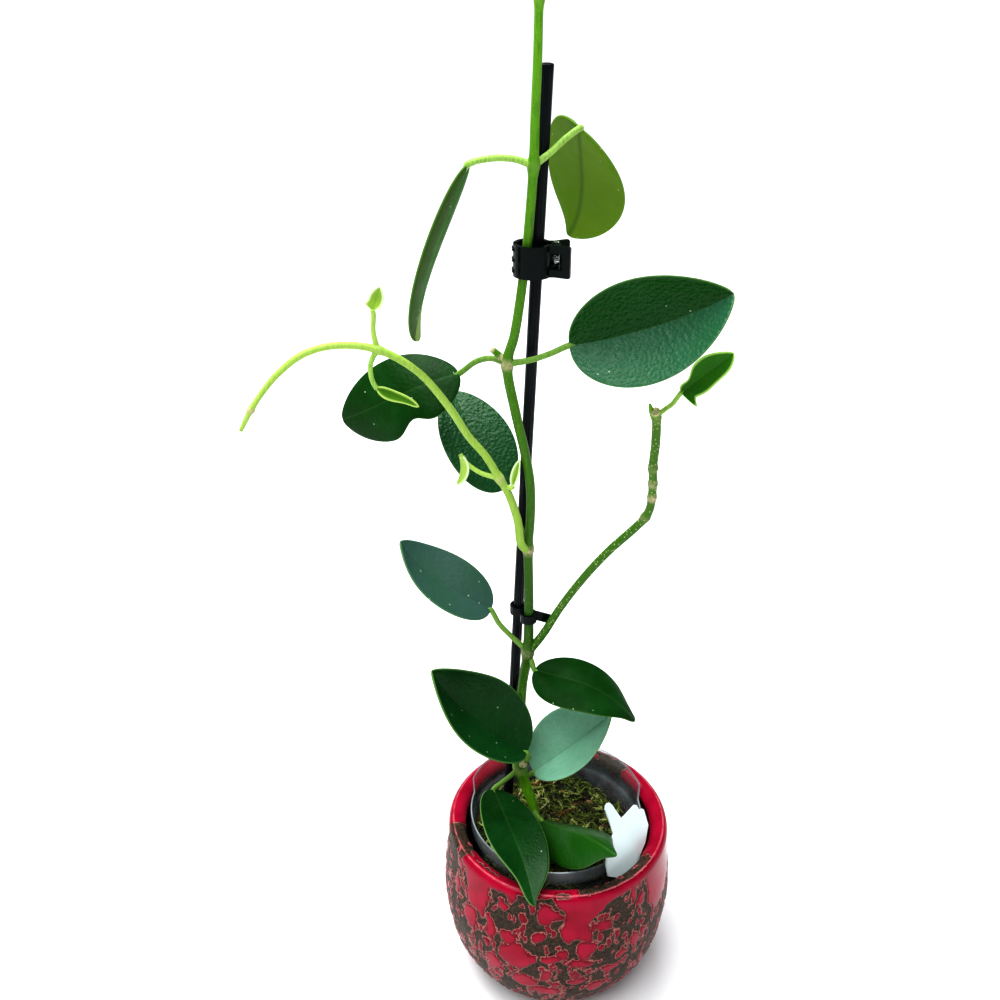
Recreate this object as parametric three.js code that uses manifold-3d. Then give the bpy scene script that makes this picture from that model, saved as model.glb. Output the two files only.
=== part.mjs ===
// Potted hoya coronaria: a climbing plant on a stake, in a clear nursery pot inside a glazed outer pot.
// Millimetres, +Z up, origin on the table at the centre of the outer pot's foot.
import * as THREE from 'three';
import { mergeVertices } from 'three/addons/utils/BufferGeometryUtils.js';
import Module from 'manifold-3d';

const wasm = await Module();
wasm.setup();

// Gap kept between pieces that touch
const GAP = 0.3;

// Outer pot: a round belly, a broad rounded lip and a flat foot
const POT_HEIGHT = 97;
const BELLY_RADIUS = 60.3;
const BELLY_HEIGHT = 50;
const LIP_OUTER_RADIUS = 57.6;
const LIP_CREST_RADIUS = 54.2;
const LIP_INNER_RADIUS = 48.4;
const LIP_DROP = 4;
const POT_WALL = 6;
const POT_FLOOR = 7;
const FOOT_RADIUS = 38.5;
const POT_SIDES = 48;

// Nursery pot: thin clear plastic with a collar band, a little off the middle of the outer pot. Its front is
// creased down over the collar, so only the back half stands at full height.
const NURSERY_CENTRE = [-1.2, 2.4];
const NURSERY_TOP = 99;
const NURSERY_RADIUS = 45;
const NURSERY_BACK_TOP = 106.5;
const NURSERY_BACK_RADIUS = 46.4;
const NURSERY_BACK_FROM = 6.8;
const NURSERY_BACK_TURN = -3.5;
const NURSERY_FOOT_RADIUS = 31.5;
const COLLAR_HEIGHT = 10;
const COLLAR_STEP = 1.4;
const NURSERY_WALL = 0.8;
const DRAIN_HOLES = 6;
const DRAIN_HOLE_RADIUS = 4;
const DRAIN_CIRCLE_RADIUS = 22;
const NURSERY_SIDES = 40;

// Growing mix: lumpy on top, with a heap round the foot of the stem
const MIX_TOP = 82;
const MIX_BUMP = 1.3;
const MIX_HEAP = 9;
const MIX_HEAP_CENTRE = [-14, 4];
const MIX_HEAP_RADIUS = 14.5;
const MIX_SIDES = 32;
const MIX_RINGS = 9;

// Stake: a straight rod with a slight lean, cut flat at the top
const STAKE_RADIUS = 2.5;
const STAKE_FOOT = [-27.8, 20.3, 42];
const STAKE_TOP = [-13.1, 1, 468];

// Claw clip round the stem and the stake
const CLAW_CENTRE = [-17.7, 1.6];
const CLAW_BOTTOM = 388;
const CLAW_HEIGHT = 13;
const CLAW_INNER_RADIUS = 6.3;
const CLAW_WALL = 1.5;
const CLAW_TEETH = 3;
const CLAW_TOOTH_RADIUS = 1.3;
const CLAW_TOOTH_OFFSET = 1.7;
const FRONT_JAW_ARC = [190, 337];
const BACK_JAW_ARC = [23, 170];
const HINGE_OFFSET = 9.4;
const HINGE_BARREL_RADIUS = 1.9;
const HINGE_PIN_RADIUS = 0.7;
const HINGE_BAR = 3.1;
const INNER_EAR = 1.3;
const PIN_HEAD = 0.8;
const PIN_HEAD_RADIUS = 1.2;
const SPRING_TURNS = 3;
const SPRING_WIRE_RADIUS = 0.32;
const LEVER_LENGTH = 6.5;
const LEVER_ANGLE = 24;
const LEVER_THICKNESS = 1.4;
const THUMB_ROUNDING = 3.4;

// Double ring that ties the stem to the stake lower down
const TIE_HEIGHT = 219;
const TIE_THICKNESS = 4.5;
const TIE_WALL = 1.2;
const TIE_SLACK = 0.1;
const TIE_STEM_CENTRE = [-16.9, 5.1];
const TIE_STEM_RADIUS = 2.4;
const TIE_BRIDGE = { length: 4.2, width: 3, turn: 122 };
const TIE_TAIL = { length: 8, width: 1.2, droop: 24, turn: 12, offset: [6.4, 1.6, -1.2] };

// Leaf blade
const BLADE_THICKNESS = 1.3;
const BLADE_EDGE_THICKNESS = 0.8;
const BLADE_END_HALF_WIDTH = 0.6;
const BLADE_STEPS = 11;
const YOUNG_BLADE_STEPS = 7;
const BLADE_STRIPS = 4;
const YOUNG_HALF_WIDTH = 8;

// Stems and leaf stalks. A stalk ends under its blade, as the start of the midrib.
const STEM_SIDES = 7;
const STALK_SIDES = 6;
const STALK_RADIUS = 1.35;
const YOUNG_STALK_RADIUS = 0.9;
const SPROUT_STALK_RADIUS = 0.8;
const STALK_MEETS_BLADE = 0.03;
const STALK_ENDS = 0.16;

// Stem routes, from the mix upward. Each stop is a place and a radius.
const mainRoute = [
  { at: [-10, 3, 40], radius: 2.2 },
  { at: [-11, 3.5, 70], radius: 2.5 },
  { at: [-12, 4, 93], radius: 2.6 },
  { at: [-17, 5, 112], radius: 2.7 },
  { at: [-20.5, 5, 126], radius: 2.9 },
  { at: [-20.2, 9.2, 156], radius: 2.5 },
  { at: [-19.2, 10.3, 175], radius: 2.4 },
  { at: [-17, 6, 197], radius: 2.5 },
  { at: [-16.8, 5, 222], radius: 2.3 },
  { at: [-17.2, 4, 243], radius: 2.2 },
  { at: [-17.6, 3, 260], radius: 2.2 },
  { at: [-16.8, 2.4, 276], radius: 2.1 },
  { at: [-17.2, 1.5, 293], radius: 2.1 },
  { at: [-20, 1, 310], radius: 2.1 },
  { at: [-24, 1, 328], radius: 2.1 },
  { at: [-27.6, 1, 350], radius: 2.1 },
  { at: [-24.6, 0.3, 363], radius: 2 },
  { at: [-21.2, -0.4, 388], radius: 1.9 },
  { at: [-19.6, -1.2, 404], radius: 1.9 },
  { at: [-17.8, -3, 432], radius: 1.9 },
  { at: [-17.5, -4.4, 450], radius: 1.8 },
  { at: [-17, -6, 469], radius: 1.7 },
  { at: [-16.8, -8, 490], radius: 1.6 },
  { at: [-16, -10, 512], radius: 1.5 },
  { at: [-14.5, -11, 534], radius: 1.3 },
];
const mainNodes = [
  { at: [-20.6, 4.6, 124], radius: 3.9, stretch: 1.5 },
  { at: [-16.9, 6, 198], radius: 3.4, stretch: 1.3 },
  { at: [-17.6, 3, 258], radius: 2.9, stretch: 1 },
  { at: [-27.4, 1, 350], radius: 2.9, stretch: 1.1 },
  { at: [-17.8, -3, 432], radius: 2.7, stretch: 1.1 },
  { at: [-16.8, -8, 490], radius: 2.1, stretch: 1 },
];
// What is left of a flower stalk, and of a shoot that was cut off
const mainStubs = [
  [
    { at: [-27.4, 1, 350], radius: 1.5 },
    { at: [-31.5, 1.6, 354], radius: 1.4 },
    { at: [-34, 2, 356], radius: 1.2 },
  ],
  [
    { at: [-20, 4, 126], radius: 2 },
    { at: [-19, 1.6, 129], radius: 2 },
    { at: [-18.6, 0.2, 131], radius: 1.8 },
  ],
];
const leftRoute = [
  { at: [-17.7, 3, 257], radius: 2 },
  { at: [-21, -0.4, 263], radius: 1.9 },
  { at: [-22.6, -0.4, 275], radius: 1.9 },
  { at: [-27, 0, 289], radius: 1.8 },
  { at: [-31, -1, 297], radius: 1.8 },
  { at: [-37, -1, 308], radius: 1.7 },
  { at: [-44, -1, 317], radius: 1.7 },
  { at: [-52, -2, 331], radius: 1.7 },
  { at: [-65, -3, 348], radius: 1.6 },
  { at: [-81, -5, 358.5], radius: 1.6 },
  { at: [-98, -7, 361], radius: 1.5 },
  { at: [-111, -9, 358], radius: 1.5 },
  { at: [-122, -11, 350], radius: 1.4 },
  { at: [-129, -12, 342], radius: 1.3 },
  { at: [-134, -13, 335], radius: 1.3 },
  { at: [-139, -14, 326], radius: 0.9 },
];
const leftNodes = [
  { at: [-31, -1, 297], radius: 2.4, stretch: 1 },
  { at: [-81, -5, 358.5], radius: 2.2, stretch: 1 },
  { at: [-134, -13, 335], radius: 1.8, stretch: 1 },
];
const rightRoute = [
  { at: [-17, 6, 197], radius: 2.1 },
  { at: [-10, 4.4, 209], radius: 2 },
  { at: [-2.1, 2, 226.1], radius: 1.9 },
  { at: [5.1, 0, 239.6], radius: 1.9 },
  { at: [13.3, -2, 252.9], radius: 1.9 },
  { at: [20.2, -3.5, 262.5], radius: 1.9 },
  { at: [29.3, -5.5, 273.7], radius: 1.9 },
  { at: [33.8, -7, 280.5], radius: 1.9 },
  { at: [35.6, -7.6, 286], radius: 1.9 },
  { at: [35.9, -8, 298], radius: 1.9 },
  { at: [35.4, -8, 306], radius: 1.9 },
  { at: [35.8, -8, 318], radius: 2 },
  { at: [35.3, -8, 329.6], radius: 2 },
  { at: [34.3, -9.5, 333], radius: 1.9 },
];
const rightNodes = [
  { at: [33.8, -7, 280.5], radius: 2.4, stretch: 0.8 },
  { at: [36, -8, 291], radius: 2.3, stretch: 0.7 },
  { at: [35.8, -8, 298], radius: 2.3, stretch: 0.7 },
  { at: [35.3, -8, 305.5], radius: 2.4, stretch: 0.7 },
  { at: [35.3, -8, 329.6], radius: 2.3, stretch: 0.9 },
];

// Large leaves. stalk runs from inside the stem to the blade; roll turns the blade about its length,
// fold lifts both halves into a V, cup bends the edges, arch and dip lift the middle and the outer third,
// sway and hook push them sideways. A bulge widens or narrows one half: side, where, how far along, how much.
const leaves = [
  {
    name: 'leaf_top_right', color: 0x6f8f2e,
    stalk: [[-17.8, -3, 432], [-12, -1, 436], [-5, 2, 441.5]],
    base: [0, 4, 444.5], tip: [0, 58, 389], halfWidth: 20.4,
    arch: -3.6, dip: -0.4, sway: 1.1, hook: -3.4, roll: 140.3, twist: 13.4, fold: 1.7, cup: -0.13,
    bulges: [[1, 1, 0.2, -0.6]],
  },
  {
    name: 'leaf_top_left', color: 0x4c7a2c,
    stalk: [[-17.8, -3, 432], [-25, -3.2, 434.4], [-34, -3.6, 434.8]],
    base: [-43, -4, 432.5], tip: [-64.6, 8.7, 358.1], halfWidth: 11,
    arch: -1.7, dip: 0, sway: -0.3, hook: 11.2, roll: 74.3, twist: 13.9, fold: 2.6, cup: -0.18,
  },
  {
    name: 'leaf_middle_right', color: 0x2f6b35,
    stalk: [[-27.5, 1, 350], [-18, -1.6, 352.6], [-10, -3.2, 356]],
    base: [-2, -4, 360], tip: [60, -20, 387], halfWidth: 22,
    arch: -3, dip: -1, sway: 3, roll: -77, twist: 2, fold: 18, cup: 0.35,
  },
  {
    name: 'leaf_middle_left', color: 0x1f4a1c,
    stalk: [[-27.5, 1, 350], [-34, 6, 350.4], [-41, 12, 346.6]],
    base: [-48.5, 16, 339.5], tip: [-102.3, 26, 313.3], halfWidth: 18.4,
    arch: 11.7, dip: -4.2, sway: -1.4, hook: -0.9, roll: 57.5, twist: 29.3, fold: 2.7, cup: -0.15,
    bulges: [[-1, 0.39, 0.11, -0.32]],
  },
  {
    name: 'leaf_middle_back', color: 0x35632b,
    stalk: [[-17.6, 3, 259], [-20.4, 5.4, 266], [-24, 8.6, 275.5]],
    base: [-28, 12, 285], tip: [-52, 42, 320], halfWidth: 16.5,
    arch: 4, dip: 0, sway: -3, roll: 17, twist: -5, fold: 9, cup: 0,
  },
  {
    name: 'leaf_low_left', color: 0x3c6650,
    stalk: [[-17, 6, 198], [-25, 6.4, 206.5], [-31, 7.2, 213.5]],
    base: [-35, 8, 221], tip: [-78, 17, 254], halfWidth: 15,
    arch: 0.5, dip: -4, sway: -3, roll: 25, twist: -24, fold: 16, cup: 0.1,
  },
  {
    name: 'leaf_foot_left', color: 0x154617,
    stalk: [[-20.4, 4.6, 126], [-17.4, 2.4, 131], [-16, 0.2, 136]],
    base: [-17, -1.5, 140], tip: [-64, 1, 190], halfWidth: 21,
    arch: -5, dip: -3, sway: -2, roll: 35, twist: 4, fold: 24, cup: 0.4,
  },
  {
    name: 'leaf_foot_right', color: 0x1a5514,
    stalk: [[-17, 6, 196.5], [-15.2, 4.4, 193.4]],
    base: [-13.6, 2.6, 189], tip: [34, -20, 176], halfWidth: 17,
    arch: 4.5, dip: 4, sway: 1.5, roll: -3, twist: 34, fold: 5, cup: -0.2,
    bulges: [[-1, 0.97, 0.12, -0.4], [1, 0.93, 0.13, -0.3]],
  },
  {
    name: 'leaf_pale_right', color: 0x5a9379,
    stalk: [[-20.4, 4.8, 122], [-17, 6, 117.5]],
    base: [-13, 6, 120], tip: [25, 0, 165], halfWidth: 18,
    arch: -5, dip: -1.5, sway: -1.2, roll: -41, twist: -10, fold: 19, cup: 0.3,
  },
  {
    name: 'leaf_rim_front', color: 0x0e4a12,
    stalk: [[-20.6, 4.6, 124], [-25, 2.6, 120.8], [-30, 1.2, 117]],
    base: [-34.1, 0, 113.4], tip: [-14.3, -63.3, 99.2], halfWidth: 15.2,
    arch: 1.7, dip: 3.2, sway: 0.5, hook: -0.5, roll: 9.6, twist: -20.3, fold: 6.4, cup: 0.1,
    bulges: [[1, 0.85, 0.2, -0.43], [-1, 1, 0.12, -0.64]],
  },
  {
    name: 'leaf_rim_right', color: 0x1e5a10,
    stalk: [[-12.6, 4, 96], [-11.6, -0.6, 97]],
    base: [-9, -6, 98], tip: [24.6, -54.8, 123.5], halfWidth: 13.6,
    arch: 0, dip: 5.3, sway: 0.8, roll: -18, twist: -12, fold: -18, cup: -0.6,
    bulges: [[1, 1, 0.15, -0.5], [-1, 1, 0.15, -0.5]],
  },
  {
    name: 'young_leaf_right', color: 0x8ba94a,
    stalk: [[35.2, -8, 330], [38.4, -9.4, 333.7], [41.2, -10, 336.4]],
    base: [44.3, -10.7, 341.7], tip: [64.2, -12, 359.7], halfWidth: 7,
    arch: -1, dip: 0, sway: 0, roll: -84, twist: 0, fold: 14, cup: 0.1,
    bulges: [[1, 0.03, 0.06, 1.8], [1, 0.55, 0.25, -0.16], [-1, 0.2, 0.14, -0.5], [-1, 0.68, 0.2, 0.15]],
  },
  {
    name: 'young_leaf_left', color: 0x6d9a35,
    stalk: [[-81, -5, 358.5], [-83.8, -7, 353.5], [-83.7, -8.4, 347.4]],
    base: [-81.8, -9, 343.2], tip: [-64.3, -11, 335.5], halfWidth: 3.5,
    arch: -1, dip: 0, sway: 0, roll: -80, twist: 0, fold: 20, cup: 0.1,
    bulges: [[1, 0.75, 0.35, -0.5], [-1, 0.4, 0.4, -0.3]],
  },
];

// Tiny young leaves that are still one with the stem they grow from
const runnerSprouts = [
  {
    stalk: [[-31, -1, 297], [-39, 1, 298.5], [-46, 3, 303]],
    base: [-48, 3.6, 306], tip: [-50, 2, 292], halfWidth: 3.4,
    arch: 1.5, dip: 0, sway: 0, roll: 100, twist: 0, fold: 40, cup: 0.2,
  },
  {
    stalk: [[-31, -1, 297], [-29, -0.6, 293.6], [-26, -1, 292]],
    base: [-25, -1, 292.6], tip: [-22, -1, 306], halfWidth: 2.6,
    arch: -1, dip: 0, sway: 0, roll: 40, twist: 0, fold: 35, cup: 0.2,
  },
  {
    stalk: [[-81, -5, 358.5], [-82.4, -4, 366], [-82, -3.4, 373]],
    base: [-82, -3.2, 374], tip: [-78.6, -3, 385], halfWidth: 3.6,
    arch: -1, dip: 0, sway: 0, roll: 30, twist: 0, fold: 38, cup: 0.2,
  },
];
const topSprouts = [
  {
    stalk: [[-14.8, -11, 531], [-14.2, -11.3, 536]],
    base: [-14, -11.4, 537], tip: [-7, -13, 554], halfWidth: 3.6,
    arch: -2, dip: 0, sway: 0, roll: 20, twist: 0, fold: 36, cup: 0.2,
  },
  {
    stalk: [[-14.8, -11, 531], [-15.2, -11, 535]],
    base: [-15.4, -10.8, 536.4], tip: [-22, -8, 551], halfWidth: 3.2,
    arch: -2, dip: 0, sway: 0, roll: -20, twist: 0, fold: 36, cup: 0.2,
  },
];

const vec = (p) => new THREE.Vector3(p[0], p[1], p[2]);

// A closed mesh as a solid that can be joined and cut
function solidOf(geometry) {
  const bare = geometry.clone();
  bare.deleteAttribute('normal');
  bare.deleteAttribute('uv');
  const merged = mergeVertices(bare, 1e-4);
  return new wasm.Manifold(new wasm.Mesh({
    numProp: 3,
    vertProperties: new Float32Array(merged.attributes.position.array),
    triVerts: new Uint32Array(merged.index.array),
  }));
}

function geometryOf(solid) {
  const mesh = solid.getMesh();
  const geometry = new THREE.BufferGeometry();
  geometry.setAttribute('position', new THREE.BufferAttribute(new Float32Array(mesh.vertProperties), 3));
  geometry.setIndex(new THREE.BufferAttribute(new Uint32Array(mesh.triVerts), 1));
  geometry.computeVertexNormals();
  return geometry;
}

function joined(solids) {
  return solids.reduce((whole, solid) => whole.add(solid));
}

// A closed skin over rings of points, with a flat fan over each end
function skinOf(rings) {
  const sides = rings[0].length;
  const positions = rings.flat().flatMap((p) => [p.x, p.y, p.z]);
  const index = [];
  for (let i = 0; i < rings.length - 1; i += 1) {
    for (let j = 0; j < sides; j += 1) {
      const a = i * sides + j;
      const b = i * sides + (j + 1) % sides;
      index.push(a, b, b + sides, a, b + sides, a + sides);
    }
  }
  const last = (rings.length - 1) * sides;
  for (let j = 1; j < sides - 1; j += 1) {
    index.push(0, j + 1, j);
    index.push(last, last + j, last + j + 1);
  }
  const geometry = new THREE.BufferGeometry();
  geometry.setAttribute('position', new THREE.Float32BufferAttribute(positions, 3));
  geometry.setIndex(index);
  return geometry;
}

// A round stem of changing radius through its stops, with the tangents of a smooth curve
function stemAlong(route, grow = 0, sides = STEM_SIDES) {
  const curve = new THREE.CatmullRomCurve3(route.map((stop) => vec(stop.at)), false, 'centripetal');
  let side = new THREE.Vector3(1, 0, 0);
  const rings = route.map((stop, i) => {
    const at = vec(stop.at);
    const along = curve.getTangent(i / (route.length - 1));
    side = side.clone().addScaledVector(along, -side.dot(along)).normalize();
    const up = along.clone().cross(side);
    const radius = stop.radius + grow;
    const ring = [];
    for (let j = 0; j < sides; j += 1) {
      const angle = 2 * Math.PI * j / sides;
      ring.push(at.clone()
        .addScaledVector(side, radius * Math.cos(angle))
        .addScaledVector(up, radius * Math.sin(angle)));
    }
    return ring;
  });
  return solidOf(skinOf(rings));
}

// The swelling where leaves and shoots leave a stem
function knuckle(node, grow = 0) {
  const ball = new THREE.SphereGeometry(node.radius + grow, STEM_SIDES, 5);
  ball.scale(1, 1, node.stretch);
  ball.translate(...node.at);
  return solidOf(ball);
}

function stemSolid({ route, nodes, stubs }, grow = 0) {
  return joined([
    stemAlong(route, grow),
    ...nodes.map((node) => knuckle(node, grow)),
    ...stubs.map((stub) => stemAlong(stub, grow)),
  ]);
}

// How wide the blade is at each share of its length: round at the base, drawn to a point at the tip
function bladeShape(u, baseRound = 0.5, tipPoint = 0.62) {
  const peak = baseRound / (baseRound + tipPoint);
  const top = peak ** baseRound * (1 - peak) ** tipPoint;
  return u ** baseRound * (1 - u) ** tipPoint / top;
}

// How much wider the blade's bulges make it at a point
function bulgeAt(leaf, u, v) {
  return (leaf.bulges ?? []).reduce((share, [side, at, spread, more]) => {
    const across = Math.sqrt(Math.max(side * v, 0));
    return share * (1 + more * across * Math.exp(-(((u - at) / spread) ** 2)));
  }, 1);
}

// The middle surface of a blade as a function of u along it and v across it
function bladeSurface(leaf) {
  const base = vec(leaf.base);
  const tip = vec(leaf.tip);
  const chord = tip.clone().sub(base);
  const along = chord.clone().normalize();
  const above = Math.abs(along.z) < 0.9 ? new THREE.Vector3(0, 0, 1) : new THREE.Vector3(0, -1, 0);
  const flatSide = along.clone().cross(above).normalize();
  const flatUp = flatSide.clone().cross(along);
  const roll = THREE.MathUtils.degToRad(leaf.roll);
  const side = flatSide.clone().multiplyScalar(Math.cos(roll)).addScaledVector(flatUp, Math.sin(roll));
  const up = flatUp.clone().multiplyScalar(Math.cos(roll)).addScaledVector(flatSide, -Math.sin(roll));
  const fold = THREE.MathUtils.degToRad(leaf.fold);
  const middle = (u) => 4 * u * (1 - u);
  const outerThird = (u) => 6.75 * u * u * (1 - u);
  const rib = (u) => base.clone()
    .addScaledVector(chord, u)
    .addScaledVector(up, leaf.arch * middle(u) + leaf.dip * outerThird(u))
    .addScaledVector(side, leaf.sway * middle(u) + (leaf.hook ?? 0) * outerThird(u));
  const at = (u, v) => {
    const tangent = rib(Math.min(u + 0.01, 1)).sub(rib(Math.max(u - 0.01, 0))).normalize();
    const across = side.clone().addScaledVector(tangent, -side.dot(tangent)).normalize();
    const normal = across.clone().cross(tangent);
    const turn = THREE.MathUtils.degToRad(leaf.twist) * (u - 0.5);
    const s = across.clone().multiplyScalar(Math.cos(turn)).addScaledVector(normal, Math.sin(turn));
    const n = normal.clone().multiplyScalar(Math.cos(turn)).addScaledVector(across, -Math.sin(turn));
    const width = Math.max(leaf.halfWidth * bladeShape(u), BLADE_END_HALF_WIDTH) * bulgeAt(leaf, u, v);
    const lift = Math.abs(v) * Math.sin(fold) + leaf.cup * v * v;
    const point = rib(u)
      .addScaledVector(s, width * v * Math.cos(fold))
      .addScaledVector(n, width * lift);
    return { point, normal: n };
  };
  return { rib, at };
}

// A blade with thickness: both faces are cut into triangles alike
function bladeSolid(leaf, along, across) {
  const surface = bladeSurface(leaf);
  const rings = [];
  for (let i = 0; i <= along; i += 1) {
    const u = i / along;
    const upper = [];
    const lower = [];
    for (let j = 0; j <= across; j += 1) {
      const v = -1 + 2 * j / across;
      const { point, normal } = surface.at(u, v);
      const thickness = BLADE_EDGE_THICKNESS + (BLADE_THICKNESS - BLADE_EDGE_THICKNESS) * (1 - v * v);
      upper.push(point.clone().addScaledVector(normal, thickness / 2));
      lower.push(point.clone().addScaledVector(normal, -thickness / 2));
    }
    rings.push([...upper, ...lower.reverse()]);
  }
  return solidOf(bladeSkin(rings, across));
}

// Joins the rings of a blade so that the upper and lower faces have the same diagonals
function bladeSkin(rings, across) {
  const sides = 2 * (across + 1);
  const positions = rings.flat().flatMap((p) => [p.x, p.y, p.z]);
  const index = [];
  const quad = (a, b, c, d) => index.push(a, b, c, a, c, d);
  for (let i = 0; i < rings.length - 1; i += 1) {
    for (let j = 0; j < sides; j += 1) {
      const a = i * sides + j;
      const b = i * sides + (j + 1) % sides;
      if (j < across) {
        quad(a, b, b + sides, a + sides);
      } else {
        quad(b, b + sides, a + sides, a);
      }
    }
  }
  const last = (rings.length - 1) * sides;
  for (let j = 0; j < across; j += 1) {
    const far = sides - 1 - j;
    quad(j, far, far - 1, j + 1);
    quad(last + j, last + j + 1, last + far - 1, last + far);
  }
  const geometry = new THREE.BufferGeometry();
  geometry.setAttribute('position', new THREE.Float32BufferAttribute(positions, 3));
  geometry.setIndex(index);
  return geometry;
}

// A blade with its stalk, which runs a short way under the blade as the start of the midrib
function leafSolid(leaf, stalkRadius, along, across) {
  const surface = bladeSurface(leaf);
  const places = [...leaf.stalk.map(vec), surface.rib(STALK_MEETS_BLADE), surface.rib(STALK_ENDS)];
  const route = places.map((place, i) => ({
    at: place.toArray(),
    radius: i === places.length - 1 ? stalkRadius / 2 : stalkRadius,
  }));
  return bladeSolid(leaf, along, across).add(stemAlong(route, 0, STALK_SIDES));
}

function sproutSolid(sprout) {
  return leafSolid(sprout, SPROUT_STALK_RADIUS, 4, 2);
}

// Outer pot
function potOutline() {
  const outer = new THREE.SplineCurve([
    new THREE.Vector2(FOOT_RADIUS + 1.5, 1.2),
    new THREE.Vector2(44.3, 5.6),
    new THREE.Vector2(50.8, 14.5),
    new THREE.Vector2(56.9, 28),
    new THREE.Vector2(BELLY_RADIUS, BELLY_HEIGHT),
    new THREE.Vector2(59.8, 68),
    new THREE.Vector2(58.3, 83),
    new THREE.Vector2(LIP_OUTER_RADIUS, POT_HEIGHT - LIP_DROP),
  ]);
  const inner = new THREE.SplineCurve([
    new THREE.Vector2(LIP_INNER_RADIUS, POT_HEIGHT - LIP_DROP - 1),
    new THREE.Vector2(51, 84),
    new THREE.Vector2(53.2, 70),
    new THREE.Vector2(BELLY_RADIUS - POT_WALL - 0.6, BELLY_HEIGHT),
    new THREE.Vector2(49.8, 28),
    new THREE.Vector2(42, 12.5),
    new THREE.Vector2(35, POT_FLOOR),
  ]);
  return { outer, inner };
}

function lipArc(fromRadius, toRadius, steps) {
  const points = [];
  for (let i = 1; i < steps; i += 1) {
    const angle = Math.PI / 2 * i / steps;
    points.push(new THREE.Vector2(
      LIP_CREST_RADIUS + (fromRadius - LIP_CREST_RADIUS) * Math.cos(angle),
      POT_HEIGHT - LIP_DROP + LIP_DROP * Math.sin(angle),
    ));
  }
  points.push(new THREE.Vector2(LIP_CREST_RADIUS, POT_HEIGHT));
  for (let i = steps - 1; i > 0; i -= 1) {
    const angle = Math.PI / 2 * i / steps;
    points.push(new THREE.Vector2(
      LIP_CREST_RADIUS + (toRadius - LIP_CREST_RADIUS) * Math.cos(angle),
      POT_HEIGHT - LIP_DROP - 1 + (LIP_DROP + 1) * Math.sin(angle),
    ));
  }
  return points;
}

function ceramicPot() {
  const { outer, inner } = potOutline();
  const profile = [
    new THREE.Vector2(0, 0),
    new THREE.Vector2(FOOT_RADIUS, 0),
    ...outer.getPoints(10),
    ...lipArc(LIP_OUTER_RADIUS, LIP_INNER_RADIUS, 3),
    ...inner.getPoints(6),
    new THREE.Vector2(0, POT_FLOOR),
  ];
  return turned(profile, POT_SIDES);
}

// A lathe turned about +Z
function turned(profile, sides) {
  const geometry = new THREE.LatheGeometry(profile, sides);
  geometry.rotateX(Math.PI / 2);
  return solidOf(geometry);
}

// Nursery pot
function nurseryPot() {
  const foot = POT_FLOOR + GAP;
  const collarFoot = NURSERY_TOP - COLLAR_HEIGHT;
  const neck = NURSERY_RADIUS - COLLAR_STEP;
  const wall = NURSERY_WALL;
  const profile = [
    new THREE.Vector2(0, foot),
    new THREE.Vector2(NURSERY_FOOT_RADIUS, foot),
    new THREE.Vector2(neck, collarFoot),
    new THREE.Vector2(NURSERY_RADIUS, collarFoot + 1.4),
    new THREE.Vector2(NURSERY_RADIUS, NURSERY_TOP),
    new THREE.Vector2(NURSERY_BACK_RADIUS, NURSERY_BACK_TOP),
    new THREE.Vector2(NURSERY_BACK_RADIUS - wall, NURSERY_BACK_TOP),
    new THREE.Vector2(NURSERY_RADIUS - wall, NURSERY_TOP),
    new THREE.Vector2(NURSERY_RADIUS - wall, collarFoot + 1.6),
    new THREE.Vector2(neck - wall, collarFoot + 0.2),
    new THREE.Vector2(NURSERY_FOOT_RADIUS - wall, foot + wall),
    new THREE.Vector2(0, foot + wall),
  ];
  const size = 3 * NURSERY_RADIUS;
  const front = box(size, size, size, 0, NURSERY_BACK_FROM - size / 2, NURSERY_TOP + size / 2)
    .rotate([0, 0, NURSERY_BACK_TURN]);
  let pot = turned(profile, NURSERY_SIDES).subtract(front);
  for (let i = 0; i < DRAIN_HOLES; i += 1) {
    const angle = 2 * Math.PI * i / DRAIN_HOLES;
    const hole = new THREE.CylinderGeometry(DRAIN_HOLE_RADIUS, DRAIN_HOLE_RADIUS, 6, 12);
    hole.rotateX(Math.PI / 2);
    hole.translate(DRAIN_CIRCLE_RADIUS * Math.cos(angle), DRAIN_CIRCLE_RADIUS * Math.sin(angle), foot);
    pot = pot.subtract(solidOf(hole));
  }
  return pot;
}

// Growing mix: fills the nursery pot and ends in a lumpy top
function mixHeight(x, y) {
  const lumps = Math.sin(x * 0.31 + 1.2) * Math.cos(y * 0.27) + 0.6 * Math.sin(x * 0.63 - y * 0.52);
  const away = Math.hypot(x - MIX_HEAP_CENTRE[0], y - MIX_HEAP_CENTRE[1]) / MIX_HEAP_RADIUS;
  return MIX_TOP + MIX_BUMP * lumps + MIX_HEAP * Math.exp(-away * away / 2);
}

function mixRadius(z) {
  const foot = POT_FLOOR + GAP;
  const share = (z - foot) / (NURSERY_TOP - COLLAR_HEIGHT - foot);
  const neck = NURSERY_RADIUS - COLLAR_STEP;
  return NURSERY_FOOT_RADIUS + (neck - NURSERY_FOOT_RADIUS) * share - NURSERY_WALL - GAP - 0.4;
}

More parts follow.
